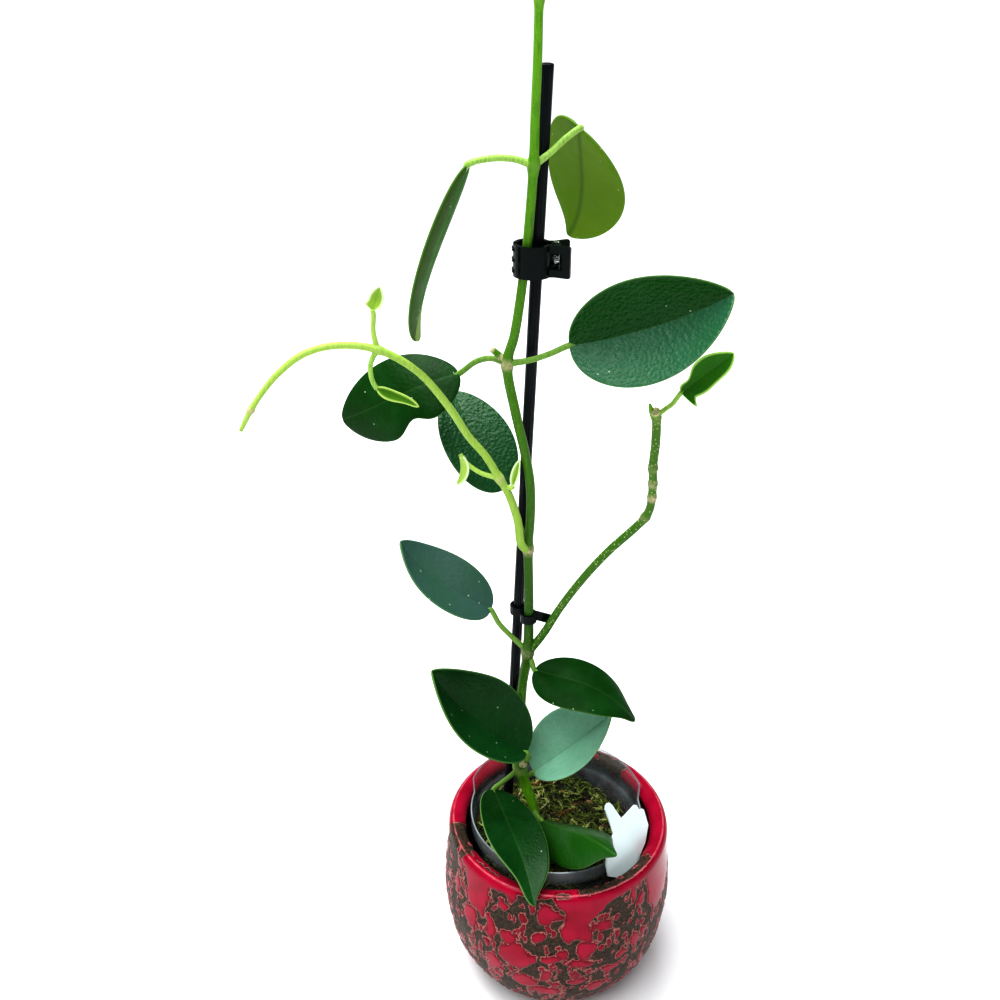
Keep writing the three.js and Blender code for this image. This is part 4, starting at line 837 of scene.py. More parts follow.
mainSkin = livingStem("mainStemSkin", *stemDesign["mainSkin"])
runnerSkin = livingStem("runnerSkin", *stemDesign["runnerSkin"])
shootSkin = livingStem("spottedShootSkin", *stemDesign["shootSkin"])
fit(stemTube("main_stem_skin", mainRoute, mainKnots), mainSkin, ["main_stem"])
fit(stemTube("left_runner_skin", leftRoute, leftKnots), runnerSkin, ["left_runner"])
fit(stemTube("right_shoot_skin", rightRoute, rightKnots), shootSkin, ["right_shoot"])
stubs = [
    {"name": "flower_stalk_stub",
     "route": [((-27.4, 1, 350), 1.6, 0.3), ((-31.5, 1.6, 354), 1.4, 0.4), ((-34, 2, 356), 1.2, 0.5)],
     "knots": [((-34, 2, 356), 1.3, 1, 1.0), ((-30, 1.4, 353), 1.5, 1, 0.8)]},
    {"name": "cut_shoot_horn",
     "route": [((34.4, -8.2, 329), 1.4, 0.8), ((33, -8.6, 332.6), 1.2, 1), ((32, -9, 336), 0.5, 1)],
     "knots": []},
    {"name": "cut_shoot_stub",
     "route": [((-20, 4, 126), 2, 0.2), ((-19, 1.6, 129), 2, 0.2), ((-18.6, 0.2, 131), 1.8, 0.2)],
     "knots": [((-18.6, 0.2, 131), 1.8, 1, 1.0)]},
]
for stub in stubs:
    fit(stemTube(stub["name"], stub["route"], stub["knots"]), mainSkin)
print("stems made")


# Leaves: thick waxy blades with a midrib, side veins and a thin pale edge

# Place and shape as in the part: base, tip, half width, then how the blade bows, rolls, twists and folds.
# hook pushes the outer third sideways; a bulge widens one half: side, where along, how far, how much.
# Look: top and underside colour, then the other half's where it differs, which is painted light, as the two
# halves of a folded blade catch the light differently; how pebbled, how deep the veins, how rough and how
# shiny; cloud is its mottling, rim, margin and edge its pale edge, bare how few flecks it has, and stalkTone
# how young its stalk looks.
leafList = [
    # its yellow-green colours are painted light shining through the thin blade, and its dark band along the
    # midrib is a darker midrib with painted shade in its fold and a painted shadow across it
    {"name": "leaf_top_right", "stalk": [(-17.8, -3, 432), (-12, -1, 436), (-5, 2, 441.5)],
     "base": (0, 4, 444.5), "tip": (0, 58, 389), "halfWidth": 20.4,
     "arch": -3.6, "dip": -0.4, "sway": 1.1, "hook": -3.4, "roll": 140.3, "twist": 13.4, "fold": 1.7,
     "cup": -0.13, "bulges": [(1, 1, 0.2, -0.6)],
     "top": "#628606", "under": "#1d5a10", "other": "#5a8004", "pebble": 0.1, "veins": 0.1,
     "rough": 0.6, "shine": 0.1, "cloud": "#527803", "ribColourAndFoldShade": "#416404", "rib": 0.7, "ribWide": 1.8,
     "stalkTone": 1},
    # its other half's dull grey-green is painted light and shade from the curve of the blade
    {"name": "leaf_top_left", "stalk": [(-17.8, -3, 432), (-25, -3.2, 434.4), (-34, -3.6, 434.8)],
     "base": (-43, -4, 432.5), "tip": (-64.6, 8.7, 358.1), "halfWidth": 11,
     "arch": -1.7, "sway": -0.3, "hook": 11.2, "roll": 74.3, "twist": 13.9, "fold": 2.6,
     "cup": -0.18,
     "top": "#2f7004", "under": "#4f8a24", "other": "#46642a", "split": (0.2, 0.55), "pebble": 0.2,
     "veins": 0.1, "rough": 0.5, "shine": 0.1, "cloud": "#2f6a10", "tipTurn": "#86a848", "stalkTone": 1},
    # the paler bluish colour of its other half is a painted reflection of the sky
    {"name": "leaf_middle_right", "stalk": [(-27.5, 1, 350), (-18, -1.6, 352.6), (-10, -3.2, 356)],
     "base": (-2, -4, 360), "tip": (60, -20, 387), "halfWidth": 22,
     "arch": -3, "dip": -1, "sway": 3, "roll": -77, "twist": 2, "fold": 18, "cup": 0.35,
     "top": "#064c04", "under": "#3b6d2c", "other": "#2f6848", "pebble": 1.0, "veins": 0.2, "rough": 0.34},
    {"name": "leaf_middle_left", "stalk": [(-27.5, 1, 350), (-34, 6, 350.4), (-41, 12, 346.6)],
     "base": (-48.5, 16, 339.5), "tip": (-102.3, 26, 313.3), "halfWidth": 18.4,
     "arch": 11.7, "dip": -4.2, "sway": -1.4, "hook": -0.9, "roll": 57.5, "twist": 29.3, "fold": 2.7,
     "cup": -0.15, "bulges": [(-1, 0.39, 0.11, -0.32)],
     "top": "#083a04", "under": "#2a5a20", "pebble": 0.3, "veins": 0.06,
     "rough": 0.38, "shine": 0.14, "bare": 0.68},
    {"name": "leaf_middle_back", "stalk": [(-17.6, 3, 259), (-20.4, 5.4, 266), (-24, 8.6, 275.5)],
     "base": (-28, 12, 285), "tip": (-52, 42, 320), "halfWidth": 16.5,
     "arch": 4, "sway": -3, "roll": 17, "twist": -5, "fold": 9,
     "top": "#1f552e", "under": "#3b6d2c", "pebble": 1.2, "veins": 0.2, "rough": 0.3},
    # its bluish grey-green top colour holds a painted reflection of the sky
    {"name": "leaf_low_left", "stalk": [(-17, 6, 198), (-25, 6.4, 206.5), (-31, 7.2, 213.5)],
     "base": (-35, 8, 221), "tip": (-78, 17, 254), "halfWidth": 15,
     "arch": 0.5, "dip": -4, "sway": -3, "roll": 25, "twist": -24, "fold": 16, "cup": 0.1,
     "top": "#3c6156", "under": "#3b6d4c", "pebble": 0.2, "veins": 0.2, "rough": 0.42},
    {"name": "leaf_foot_left", "stalk": [(-20.4, 4.6, 126), (-17.4, 2.4, 131), (-16, 0.2, 136)],
     "base": (-17, -1.5, 140), "tip": (-64, 1, 190), "halfWidth": 21,
     "arch": -5, "dip": -3, "sway": -2, "roll": 35, "twist": 4, "fold": 24, "cup": 0.4,
     "top": "#0c4418", "under": "#2f6224", "other": "#0a4012", "pebble": 0.35, "veins": 0.12,
     "rough": 0.34, "shine": 0.2},
    {"name": "leaf_foot_right", "stalk": [(-17, 6, 196.5), (-15.2, 4.4, 193.4)],
     "base": (-13.6, 2.6, 189), "tip": (34, -20, 176), "halfWidth": 17,
     "arch": 4.5, "dip": 4, "sway": 1.5, "roll": -3, "twist": 34, "fold": 5, "cup": -0.2,
     "bulges": [(-1, 0.97, 0.12, -0.4), (1, 0.93, 0.13, -0.3)],
     "top": "#033600", "under": "#2a5a20", "pebble": 0.15, "veins": 0.06,
     "rough": 0.4, "shine": 0.1},
    # its pale bluish top and cloud colours hold a painted reflection of the sky over the leaf's own green
    {"name": "leaf_pale_right", "stalk": [(-20.4, 4.8, 122), (-17, 6, 117.5)],
     "base": (-13, 6, 120), "tip": (25, 0, 165), "halfWidth": 18,
     "arch": -5, "dip": -1.5, "sway": -1.2, "roll": -41, "twist": -10, "fold": 19, "cup": 0.3,
     "top": "#84b89e", "under": "#4b7d52", "pebble": 0.4, "veins": 0.4, "crackle": 0.1,
     "rough": 0.4, "shine": 0.25, "cloud": "#5c957c"},
    {"name": "leaf_rim_front", "stalk": [(-20.6, 4.6, 124), (-25, 2.6, 120.8), (-30, 1.2, 117)],
     "base": (-34.1, 0, 113.4), "tip": (-14.3, -63.3, 99.2), "halfWidth": 15.2,
     "arch": 1.7, "dip": 3.2, "sway": 0.5, "hook": -0.5, "roll": 9.6, "twist": -20.3, "fold": 6.4, "cup": 0.1,
     "bulges": [(1, 0.85, 0.2, -0.43), (-1, 1, 0.12, -0.64)],
     "top": "#033a08", "under": "#2f6224", "pebble": 0.25, "veins": 0.12,
     "rough": 0.3, "shine": 0.22, "rim": 0.6, "bare": 0.6},
    {"name": "leaf_rim_right", "stalk": [(-12.6, 4, 96), (-11.6, -0.6, 97)],
     "base": (-9, -6, 98), "tip": (24.6, -54.8, 123.5), "halfWidth": 13.6,
     "dip": 5.3, "sway": 0.8, "roll": -18, "twist": -12, "fold": -18, "cup": -0.6,
     "bulges": [(1, 1, 0.15, -0.5), (-1, 1, 0.15, -0.5)],
     "top": "#175400", "under": "#3f7a20", "pebble": 0.3, "veins": 0.1, "rough": 0.38},
    {"name": "young_leaf_right", "stalk": [(35.2, -8, 330), (38.4, -9.4, 333.7), (41.2, -10, 336.4)],
     "base": (44.3, -10.7, 341.7), "tip": (64.2, -12, 359.7), "halfWidth": 7,
     "arch": -1, "roll": -84, "fold": 14, "cup": 0.1,
     "bulges": [(1, 0.03, 0.06, 1.8), (1, 0.55, 0.25, -0.16), (-1, 0.2, 0.14, -0.5), (-1, 0.68, 0.2, 0.15)],
     "top": "#347806", "under": "#8fbf4c", "pebble": 0.1, "veins": 0.2, "rough": 0.45,
     "shine": 0.15, "rim": 0.85, "margin": 1.3, "edge": "#c0ec7c"},
    {"name": "young_leaf_left", "stalk": [(-81, -5, 358.5), (-83.8, -7, 353.5), (-83.7, -8.4, 347.4)],
     "base": (-81.8, -9, 343.2), "tip": (-64.3, -11, 335.5), "halfWidth": 3.5,
     "arch": -1, "roll": -80, "fold": 20, "cup": 0.1,
     "bulges": [(1, 0.75, 0.35, -0.5), (-1, 0.4, 0.4, -0.3)],
     "top": "#558a10", "under": "#8fbf4c", "pebble": 0.1, "veins": 0.2, "rough": 0.45,
     "shine": 0.15, "rim": 0.8, "margin": 1.3, "edge": "#c8e47c"},
]
sproutList = [
    {"name": "runner_sprout_left", "skin": "runner",
     "stalk": [(-31, -1, 297), (-39, 1, 298.5), (-46, 3, 303)],
     "base": (-48, 3.6, 306), "tip": (-50, 2, 292), "halfWidth": 3.4,
     "arch": 1.5, "roll": 100, "fold": 40, "cup": 0.2},
    {"name": "runner_sprout_right", "skin": "runner",
     "stalk": [(-31, -1, 297), (-29, -0.6, 293.6), (-26, -1, 292)],
     "base": (-25, -1, 292.6), "tip": (-22, -1, 306), "halfWidth": 2.6,
     "arch": -1, "roll": 40, "fold": 35, "cup": 0.2},
    {"name": "runner_sprout_top", "skin": "runner",
     "stalk": [(-81, -5, 358.5), (-82.4, -4, 366), (-82, -3.4, 373)],
     "base": (-82.2, -3.2, 374.6), "tip": (-78.8, -3, 384.6), "halfWidth": 3.3,
     "arch": -1, "roll": 8, "fold": 14, "cup": 0.2,
     "bulges": [(-1, 0.12, 0.14, 0.7)]},
    {"name": "tip_sprout_right", "skin": "main",
     "stalk": [(-14.8, -11, 531), (-14.2, -11.3, 536)],
     "base": (-14, -11.4, 537), "tip": (-7, -13, 554), "halfWidth": 3.6,
     "arch": -2, "roll": 20, "fold": 36, "cup": 0.2},
    {"name": "tip_sprout_left", "skin": "main",
     "stalk": [(-14.8, -11, 531), (-15.2, -11, 535)],
     "base": (-15.4, -10.8, 536.4), "tip": (-22, -8, 551), "halfWidth": 3.2,
     "arch": -2, "roll": -20, "fold": 36, "cup": 0.2},
]
# A blade narrows toward its base and its tip by these powers, so its widest place is nearer the base. Sizes
# are in millimetres, along and half are steps, and the looks hold where a leaf doesn't give its own.
leafDesign = {
    "basePower": 0.5, "tipPower": 0.62, "thickness": 1.25, "veinSpacing": 6.5, "veinSlope": 0.62,
    "along": 70, "half": 20, "cloud": "#1f5a24", "vein": "#7fa874", "ribColourAndFoldShade": "#7da65c", "net": "#b9d9c8",
    "fleck": "#c9dcc4", "underCloud": "#7fa63c", "underRib": "#9cc45a", "edge": "#7fae58", "margin": 0.45,
    "veins": 0.2, "pebble": 0.3, "shine": 0.3, "rim": 0.3, "ribWide": 0.7, "bare": 0.78,
    "split": (-0.04, 0.04), "crackle": 0, "tipTurn": None,
}
youngDesign = {"halfWidth": 8, "thickness": 0.8, "along": 34, "half": 10}  # for blades narrower than that
sproutDesign = {
    "name": "sprout", "along": 22, "half": 8, "top": "#a3c94a", "under": "#b9d868", "pebble": 0.1,
    "veins": 0.1, "rough": 0.45, "shine": 0.15, "rim": 0.85, "margin": 1.2, "edge": "#e6f6cc",
}


def isYoung(leaf):
    return leaf["halfWidth"] < youngDesign["halfWidth"]


def bladeSurface(leaf, u, v):
    # middle surface of the blade for every u along it and v across it, with its normals and half widths
    base, tip = np.array(leaf["base"], float), np.array(leaf["tip"], float)
    chord = tip - base
    along = unit(chord)
    above = np.array((0, 0, 1.0)) if abs(along[2]) < 0.9 else np.array((0, -1.0, 0))
    flatSide = unit(np.cross(along, above))
    flatUp = np.cross(flatSide, along)
    arch, dip, sway, hook, cup = (leaf.get(key, 0) for key in ("arch", "dip", "sway", "hook", "cup"))
    roll, fold, twist = (math.radians(leaf.get(key, 0)) for key in ("roll", "fold", "twist"))
    side = flatSide * math.cos(roll) + flatUp * math.sin(roll)
    up = flatUp * math.cos(roll) - flatSide * math.sin(roll)

    def rib(t):
        # middle line: bowed up and sideways over its length, and again in its outer third
        t = np.asarray(t, float)[..., None]
        middle, outerThird = 4 * t * (1 - t), 6.75 * t * t * (1 - t)
        lift = arch * middle + dip * outerThird
        sideways = sway * middle + hook * outerThird
        return base + chord * t + up * lift + side * sideways

    tangent = unit(rib(np.minimum(u + 0.01, 1)) - rib(np.maximum(u - 0.01, 0)))
    across = unit(side - tangent * (tangent @ side)[:, None])
    normal = np.cross(across, tangent)
    turn = (twist * (u - 0.5))[:, None]
    s = across * np.cos(turn) + normal * np.sin(turn)
    n = normal * np.cos(turn) - across * np.sin(turn)
    basePower, tipPower = leafDesign["basePower"], leafDesign["tipPower"]
    widest = basePower / (basePower + tipPower)
    most = widest ** basePower * (1 - widest) ** tipPower
    width = np.maximum(leaf["halfWidth"] * u ** basePower * (1 - u) ** tipPower / most, 0.35)
    width = np.repeat(width[:, None], len(v), 1)
    for half, at, spread, more in leaf.get("bulges", []):
        near = np.exp(-((u - at) / spread) ** 2)[:, None]
        width = width * (1 + more * near * np.sqrt(np.clip(half * v, 0, 1)))
    lift = np.abs(v) * math.sin(fold) + cup * v * v
    points = (rib(u)[:, None, :] + s[:, None, :] * (width * v * math.cos(fold))[..., None]
              + n[:, None, :] * (width * lift)[..., None])
    return points, np.repeat(n[:, None, :], len(v), 1), width, rib


def leafBlade(leaf, along, half):
    t = np.linspace(0, 1, along)
    u = (1 - np.cos(math.pi * t)) / 2
    h = np.linspace(0, 1, half)
    h = h - 0.8 * np.sin(2 * math.pi * h) / (2 * math.pi)
    v = np.concatenate([-h[:0:-1], h])
    middle, normal, width, rib = bladeSurface(leaf, u, v)
    # true normals of the folded surface
    du, dv = np.gradient(middle, axis=0), np.gradient(middle, axis=1)
    face = np.cross(dv, du)
    face /= np.maximum(np.linalg.norm(face, axis=2, keepdims=True), 1e-9)
    face *= np.sign((face * normal).sum(2, keepdims=True) + 1e-12)
    length = np.linalg.norm(np.array(leaf["tip"], float) - np.array(leaf["base"], float))
    # the blade thins at its edge and at both ends
    fromRib = np.abs(v)[None, :] * width
    fromEdge = (1 - np.abs(v))[None, :] * width
    thickest = youngDesign["thickness"] if isYoung(leaf) else leafDesign["thickness"]
    thickness = thickest * np.sqrt(np.clip(fromEdge / 0.7, 0, 1))
    thickness *= np.sqrt(np.clip(np.minimum(u, 1 - u) * length / 0.8, 0, 1))[:, None]
    # grooves along the midrib and the side veins above, and a ridge along the midrib below
    inside = np.clip(fromEdge / 3, 0, 1) * np.clip((1 - u) / 0.08, 0, 1)[:, None]
    bend = fromRib * leafDesign["veinSlope"] - 0.6 * np.sin(fromRib * 0.5)
    vein = (u[:, None] * length - bend) / leafDesign["veinSpacing"] + 0.25 * (v[None, :] > 0)
    veinLine = np.abs(vein - np.round(vein)) * leafDesign["veinSpacing"]
    depth = leaf.get("veins", leafDesign["veins"])
    groove = (0.06 + 0.2 * depth) * np.exp(-(fromRib / 0.8) ** 2)
    groove = groove + 0.07 * depth * np.exp(-(veinLine / 1.1) ** 2) * inside
    ridge = 0.5 * np.exp(-(fromRib / 0.9) ** 2) * (1 - 0.7 * u[:, None])
    upper = middle + face * (thickness / 2 - groove * np.clip(fromEdge / 1.5, 0, 1))[..., None]
    lower = middle - face * (thickness / 2 + ridge * np.clip(fromEdge / 1.5, 0, 1))[..., None]
    # both faces share the points round the edge
    rows, columns = len(u), len(v)
    points = list(upper.reshape(-1, 3))
    index = np.arange(rows * columns).reshape(rows, columns)
    under = index.copy()
    for i in range(1, rows - 1):
        for j in range(1, columns - 1):
            under[i, j] = len(points)
            points.append(lower[i, j])
    faces = []
    for i in range(rows - 1):
        for j in range(columns - 1):
            a, b, c, d = index[i, j], index[i, j + 1], index[i + 1, j + 1], index[i + 1, j]
            e, f, g, k = under[i, j], under[i, j + 1], under[i + 1, j + 1], under[i + 1, j]
            faces += [(a, b, c, d), (k, g, f, e)]
    grids = {
        "edgeAway": fromEdge, "ribAway": fromRib, "veinAway": veinLine,
        "side": np.repeat(v[None, :], rows, 0), "along": np.repeat(u[:, None], columns, 1),
    }
    values = {"under": np.concatenate([np.zeros(rows * columns), np.ones(len(points) - rows * columns)])}
    for key, grid in grids.items():
        values[key] = np.concatenate([grid.reshape(-1), grid[1:-1, 1:-1].reshape(-1)])
    return points, faces, values, rib


def waxyLeaf(leaf):
    # Thick succulent leaf with a wax skin: deep green, softly glossy, pebbled, with silver flecks and a thin
    # pale edge. The eye sees a broad soft sheen that breaks up over the pebbles.
    look = {**leafDesign, "other": leaf["top"], **leaf}
    material, add, place = newMaterial("waxyLeaf_" + leaf["name"])
    # the other half's colour is painted light: the two halves of a folded blade catch the light differently
    side = add("Attribute", {"attribute_name": "side"}, "Fac")
    half = add("MapRange", {**smooth, 0: side, 1: look["split"][0], 2: look["split"][1]})
    top = add("Mix", {**blend, 0: half, 6: look["top"], 7: look["other"]}, 2)
    cloud = add("TexNoise", {"Vector": place, "Scale": perMm(16), "Detail": 3, "Roughness": 0.55})
    clouded = add("MapRange", {**smooth, 0: cloud, 1: 0.35, 2: 0.75, 3: 0, 4: 0.35})
    top = add("Mix", {**blend, 0: clouded, 6: top, 7: look["cloud"]}, 2)
    veinLine = add("Attribute", {"attribute_name": "veinAway"}, "Fac")
    veinLine = add("MapRange", {**smooth, 0: veinLine, 1: 1.1, 2: 0.1, 3: 0, 4: 0.12 * look["veins"]})
    top = add("Mix", {**blend, 0: veinLine, 6: top, 7: look["vein"]}, 2)
    # a band along the midrib; on leaf_top_right it is a darker midrib with painted shade in its fold
    ribAway = add("Attribute", {"attribute_name": "ribAway"}, "Fac")
    ribShare = look.get("rib", 0.04 + 0.2 * look["veins"])
    middle = add("MapRange", {**smooth, 0: ribAway, 1: look["ribWide"], 2: 0.15, 3: 0, 4: ribShare})
    top = add("Mix", {**blend, 0: middle, 6: top, 7: look["ribColourAndFoldShade"]}, 2)
    if look["crackle"]:
        # pale net of small veins
        wander = add("TexNoise", {"Vector": place, "Scale": perMm(5), "Detail": 3}, "Color")
        shifted = add("VectorMath", {"operation": "SCALE", 0: wander, "Scale": 4 * mm})
        moved = add("VectorMath", {**plus, 0: place, 1: shifted})
        netCells = {"feature": "DISTANCE_TO_EDGE", "Vector": moved, "Scale": perMm(4.5)}
        net = add("TexVoronoi", netCells, "Distance")
        line = add("MapRange", {**smooth, 0: net, 1: 0.12, 2: 0, 3: 0, 4: look["crackle"]})
        top = add("Mix", {**blend, 0: line, 6: top, 7: look["net"]}, 2)
    # flecks: a small spot in some of the cells
    cells = add("TexVoronoi", {"Vector": place, "Scale": perMm(4.5), "Randomness": 1}, "Color")
    chosen = add("SeparateColor", {"Color": cells})
    chosen = add("MapRange", {**smooth, 0: chosen, 1: look["bare"], 2: look["bare"] + 0.02})
    spot = add("MapRange", {**smooth, 0: cells.node.outputs["Distance"], 1: 0.1, 2: 0.06})
    fleck = add("Math", {**times, 0: spot, 1: chosen})
    fleck = add("Math", {**times, 0: fleck, 1: 0.7})
    top = add("Mix", {**blend, 0: fleck, 6: top, 7: look["fleck"]}, 2)
    # the underside: plainer and lighter, with a pale midrib
    halfCloud = add("Math", {**times, 0: cloud, 1: 0.5})
    below = add("Mix", {**blend, 0: halfCloud, 6: look["under"], 7: look["underCloud"]}, 2)
    underRib = add("MapRange", {**smooth, 0: ribAway, 1: 1.4, 2: 0.5, 3: 0, 4: 0.5})
    below = add("Mix", {**blend, 0: underRib, 6: below, 7: look["underRib"]}, 2)
    under = add("Attribute", {"attribute_name": "under"}, "Fac")
    colour = add("Mix", {**blend, 0: under, 6: top, 7: below}, 2)
    if look["tipTurn"]:
        # the curled tip shows its paler underside
        slope = add("Math", {**times, 0: side, 1: 0.15})
        slant = add("Attribute", {"attribute_name": "along"}, "Fac")
        slant = add("Math", {"operation": "SUBTRACT", 0: slant, 1: slope})
        slant = add("MapRange", {**smooth, 0: slant, 1: 0.8, 2: 0.812})
        colour = add("Mix", {**blend, 0: slant, 6: colour, 7: look["tipTurn"]}, 2)
    margin = look["margin"]
    rim = add("Attribute", {"attribute_name": "edgeAway"}, "Fac")
    rim = add("MapRange", {**smooth, 0: rim, 1: margin, 2: margin * 0.25, 3: 0, 4: look["rim"]})
    colour = add("Mix", {**blend, 0: rim, 6: colour, 7: look["edge"]}, 2)
    # skin: rounded pebbles with fine pores over them
    pebbleCells = {"feature": "SMOOTH_F1", "Smoothness": 0.8, "Scale": perMm(1.5), "Randomness": 1}
    pebbles = add("TexVoronoi", {**pebbleCells, "Vector": place}, "Distance")
    pebbles = add("Math", {**times, 0: pebbles, 1: 0.9})
    pores = add("TexNoise", {"Vector": place, "Scale": perMm(0.7), "Detail": 2, "Roughness": 0.55})
    pores = add("Math", {**times, 0: pores, 1: 0.3})
    skin = add("Math", {**plus, 0: pebbles, 1: pores})
    relief = add("Bump", {"Strength": 1, "Distance": 0.5 * look["pebble"] * mm, "Height": skin})
    wax = add("TexNoise", {"Vector": place, "Scale": perMm(5), "Detail": 3, "Roughness": 0.55})
    roughRange = {3: look["rough"] - 0.05, 4: look["rough"] + 0.07}
    rough = add("MapRange", {**smooth, 0: wax, 1: 0.3, 2: 0.7, **roughRange})
    surface = add("BsdfPrincipled", {
        "IOR": 1.42, "Specular IOR Level": look["shine"], "Base Color": colour, "Roughness": rough,
        "Normal": relief,
    })
    add("OutputMaterial", {"Surface": surface})
    return material


stalkDesign = {"radius": 1.35, "young": 1.1, "steps": 10, "sides": 14, "tone": 0.45}


def leafStalk(leaf, rib, young):
    # stalk with a swollen foot and neck, running on into the blade as the start of its midrib
    radius = stalkDesign["young"] if isYoung(leaf) else stalkDesign["radius"]
    stops = [tuple(p) for p in leaf["stalk"]] + [tuple(rib(0.0)), tuple(rib(0.04)), tuple(rib(0.12))]
    points, shares = smoothRoute(stops, stalkDesign["steps"])
    last = len(stops) - 1
    places = [0, 0.35, 1, last - 2.4, last - 1.9, last - 1, last]
    radii = radius * np.interp(shares, places, [1.3, 1.05, 0.95, 0.95, 1, 0.35, 0.1])
    values = {"young": np.full(len(points), young), "scar": np.zeros(len(points))}
    return tube(leaf["name"] + "_stalk", points, radii, values, stalkDesign["sides"])


stalkSkin = livingStem("leafStalkSkin", *stemDesign["stalkSkin"])
for leaf in leafList:
    steps = youngDesign if isYoung(leaf) else leafDesign
    points, faces, values, rib = leafBlade(leaf, steps["along"], steps["half"])
    blade = meshPiece(leaf["name"] + "_blade", points, faces, values)
    fit(blade, waxyLeaf(leaf), [leaf["name"]])
    stalkTone = 1.0 if isYoung(leaf) else leaf.get("stalkTone", stalkDesign["tone"])
    fit(leafStalk(leaf, rib, stalkTone), stalkSkin)
sproutSkin = waxyLeaf(sproutDesign)
for sprout in sproutList:
    points, faces, values, rib = leafBlade(sprout, sproutDesign["along"], sproutDesign["half"])
    fit(meshPiece(sprout["name"] + "_blade", points, faces, values), sproutSkin)
    fit(leafStalk(sprout, rib, 1.0), runnerSkin if sprout["skin"] == "runner" else mainSkin)
print("leaves made")


# Stake, clips and tags

stakeDesign = {
    "foot": (-27.8, 20.3, 42), "top": (-13.1, 1, 468), "radius": 2.5, "ridges": 10, "ridge": 0.16,
    "colours": ("#02070a", "#0a141a"),
}
clipDesign = {
    "plastic": ("#000605", "#041210"), "wire": ("#ccd0d4", "#f2f4f6"), "softEdge": 0.22, "softWire": 0.08,
}
tagDesign = {"colours": ("#e6fbfc", "#f4ffff"), "softEdge": 0.12}


def stakeRod():
    # round rod with ridges along it and a slightly rounded cut end
    shape = stakeDesign
    foot, top = np.array(shape["foot"]), np.array(shape["top"])
    axis = unit(top - foot)
    length = np.linalg.norm(top - foot)
    side = unit(np.cross(axis, (0, 1.0, 0)))
    up = np.cross(axis, side)
    sides = shape["ridges"] * 8
    stops = list(np.linspace(0, length - 0.4, 90)) + [length - 0.15, length]
    points = []
    for s in stops:
        inset = 0.35 if s == length else (0.1 if s > length - 0.2 else 0)
        for j in range(sides):
            a = 2 * math.pi * j / sides
            r = shape["radius"] - inset - shape["ridge"] * (0.5 - 0.5 * math.cos(shape["ridges"] * a)) ** 2
            points.append(foot + axis * s + r * (side * math.cos(a) + up * math.sin(a)))
    return meshPiece("stake_rod", points, closedRings(len(stops), sides))


def extrudedPlastic():
    # Extruded plastic-coated rod: blue-black, satin, with fine draw lines along it
    look = stakeDesign
    material, add, place = newMaterial("extrudedPlastic")
    stretched = add("Mapping", {"Vector": place, "Scale": (1, 1, 0.03)})
    drawn = add("TexNoise", {"Vector": stretched, "Scale": perMm(0.6), "Detail": 3, "Roughness": 0.55})
    share = add("MapRange", {**smooth, 0: drawn, 1: 0.35, 2: 0.7})
    colour = add("Mix", {**blend, 0: share, 6: look["colours"][0], 7: look["colours"][1]}, 2)
    rough = add("TexNoise", {"Vector": place, "Scale": perMm(8), "Detail": 3, "Roughness": 0.55})
    rough = add("MapRange", {**smooth, 0: rough, 1: 0.3, 2: 0.7, 3: 0.32, 4: 0.5})
    relief = add("Bump", {"Strength": 1, "Distance": 0.08 * mm, "Height": drawn})
    surface = add("BsdfPrincipled", {
        "IOR": 1.5, "Specular IOR Level": 0.14, "Base Color": colour, "Roughness": rough, "Normal": relief,
    })
    add("OutputMaterial", {"Surface": surface})
    return material


def mouldedPlastic():
    # Injection-moulded clip: nearly black green, glossy on the flats, with a faint sparkle grain
    look = clipDesign
    material, add, place = newMaterial("mouldedClipPlastic")
    sheen = add("TexNoise", {"Vector": place, "Scale": perMm(2.2), "Detail": 4, "Roughness": 0.55})
    colour = add("Mix", {**blend, 0: sheen, 6: look["plastic"][0], 7: look["plastic"][1]}, 2)
    rough = add("MapRange", {**smooth, 0: sheen, 1: 0.3, 2: 0.7, 3: 0.2, 4: 0.36})
    # the real grain is finer and wouldn't show
    sparkle = add("TexNoise", {"Vector": place, "Scale": perMm(0.5), "Detail": 2, "Roughness": 0.55})
    relief = add("Bump", {"Strength": 1, "Distance": 0.03 * mm, "Height": sparkle})
    surface = add("BsdfPrincipled", {
        "IOR": 1.5, "Specular IOR Level": 0.14, "Base Color": colour, "Roughness": rough, "Normal": relief,
    })
    add("OutputMaterial", {"Surface": surface})
    return material


def drawnSteel():
    # Drawn spring wire: bright, with fine lines round the wire
    look = clipDesign
    material, add, place = newMaterial("drawnSteelWire")
    # real draw lines are finer and wouldn't show
    lines = add("TexNoise", {"Vector": place, "Scale": perMm(0.35), "Detail": 3, "Roughness": 0.55})
    colour = add("Mix", {**blend, 0: lines, 6: look["wire"][0], 7: look["wire"][1]}, 2)
    rough = add("MapRange", {**smooth, 0: lines, 1: 0.3, 2: 0.7, 3: 0.18, 4: 0.34})
    relief = add("Bump", {"Strength": 1, "Distance": 0.02 * mm, "Height": lines})
    surface = add("BsdfPrincipled", {
        "Metallic": 1, "Base Color": colour, "Roughness": rough, "Normal": relief,
    })
    add("OutputMaterial", {"Surface": surface})
    return material


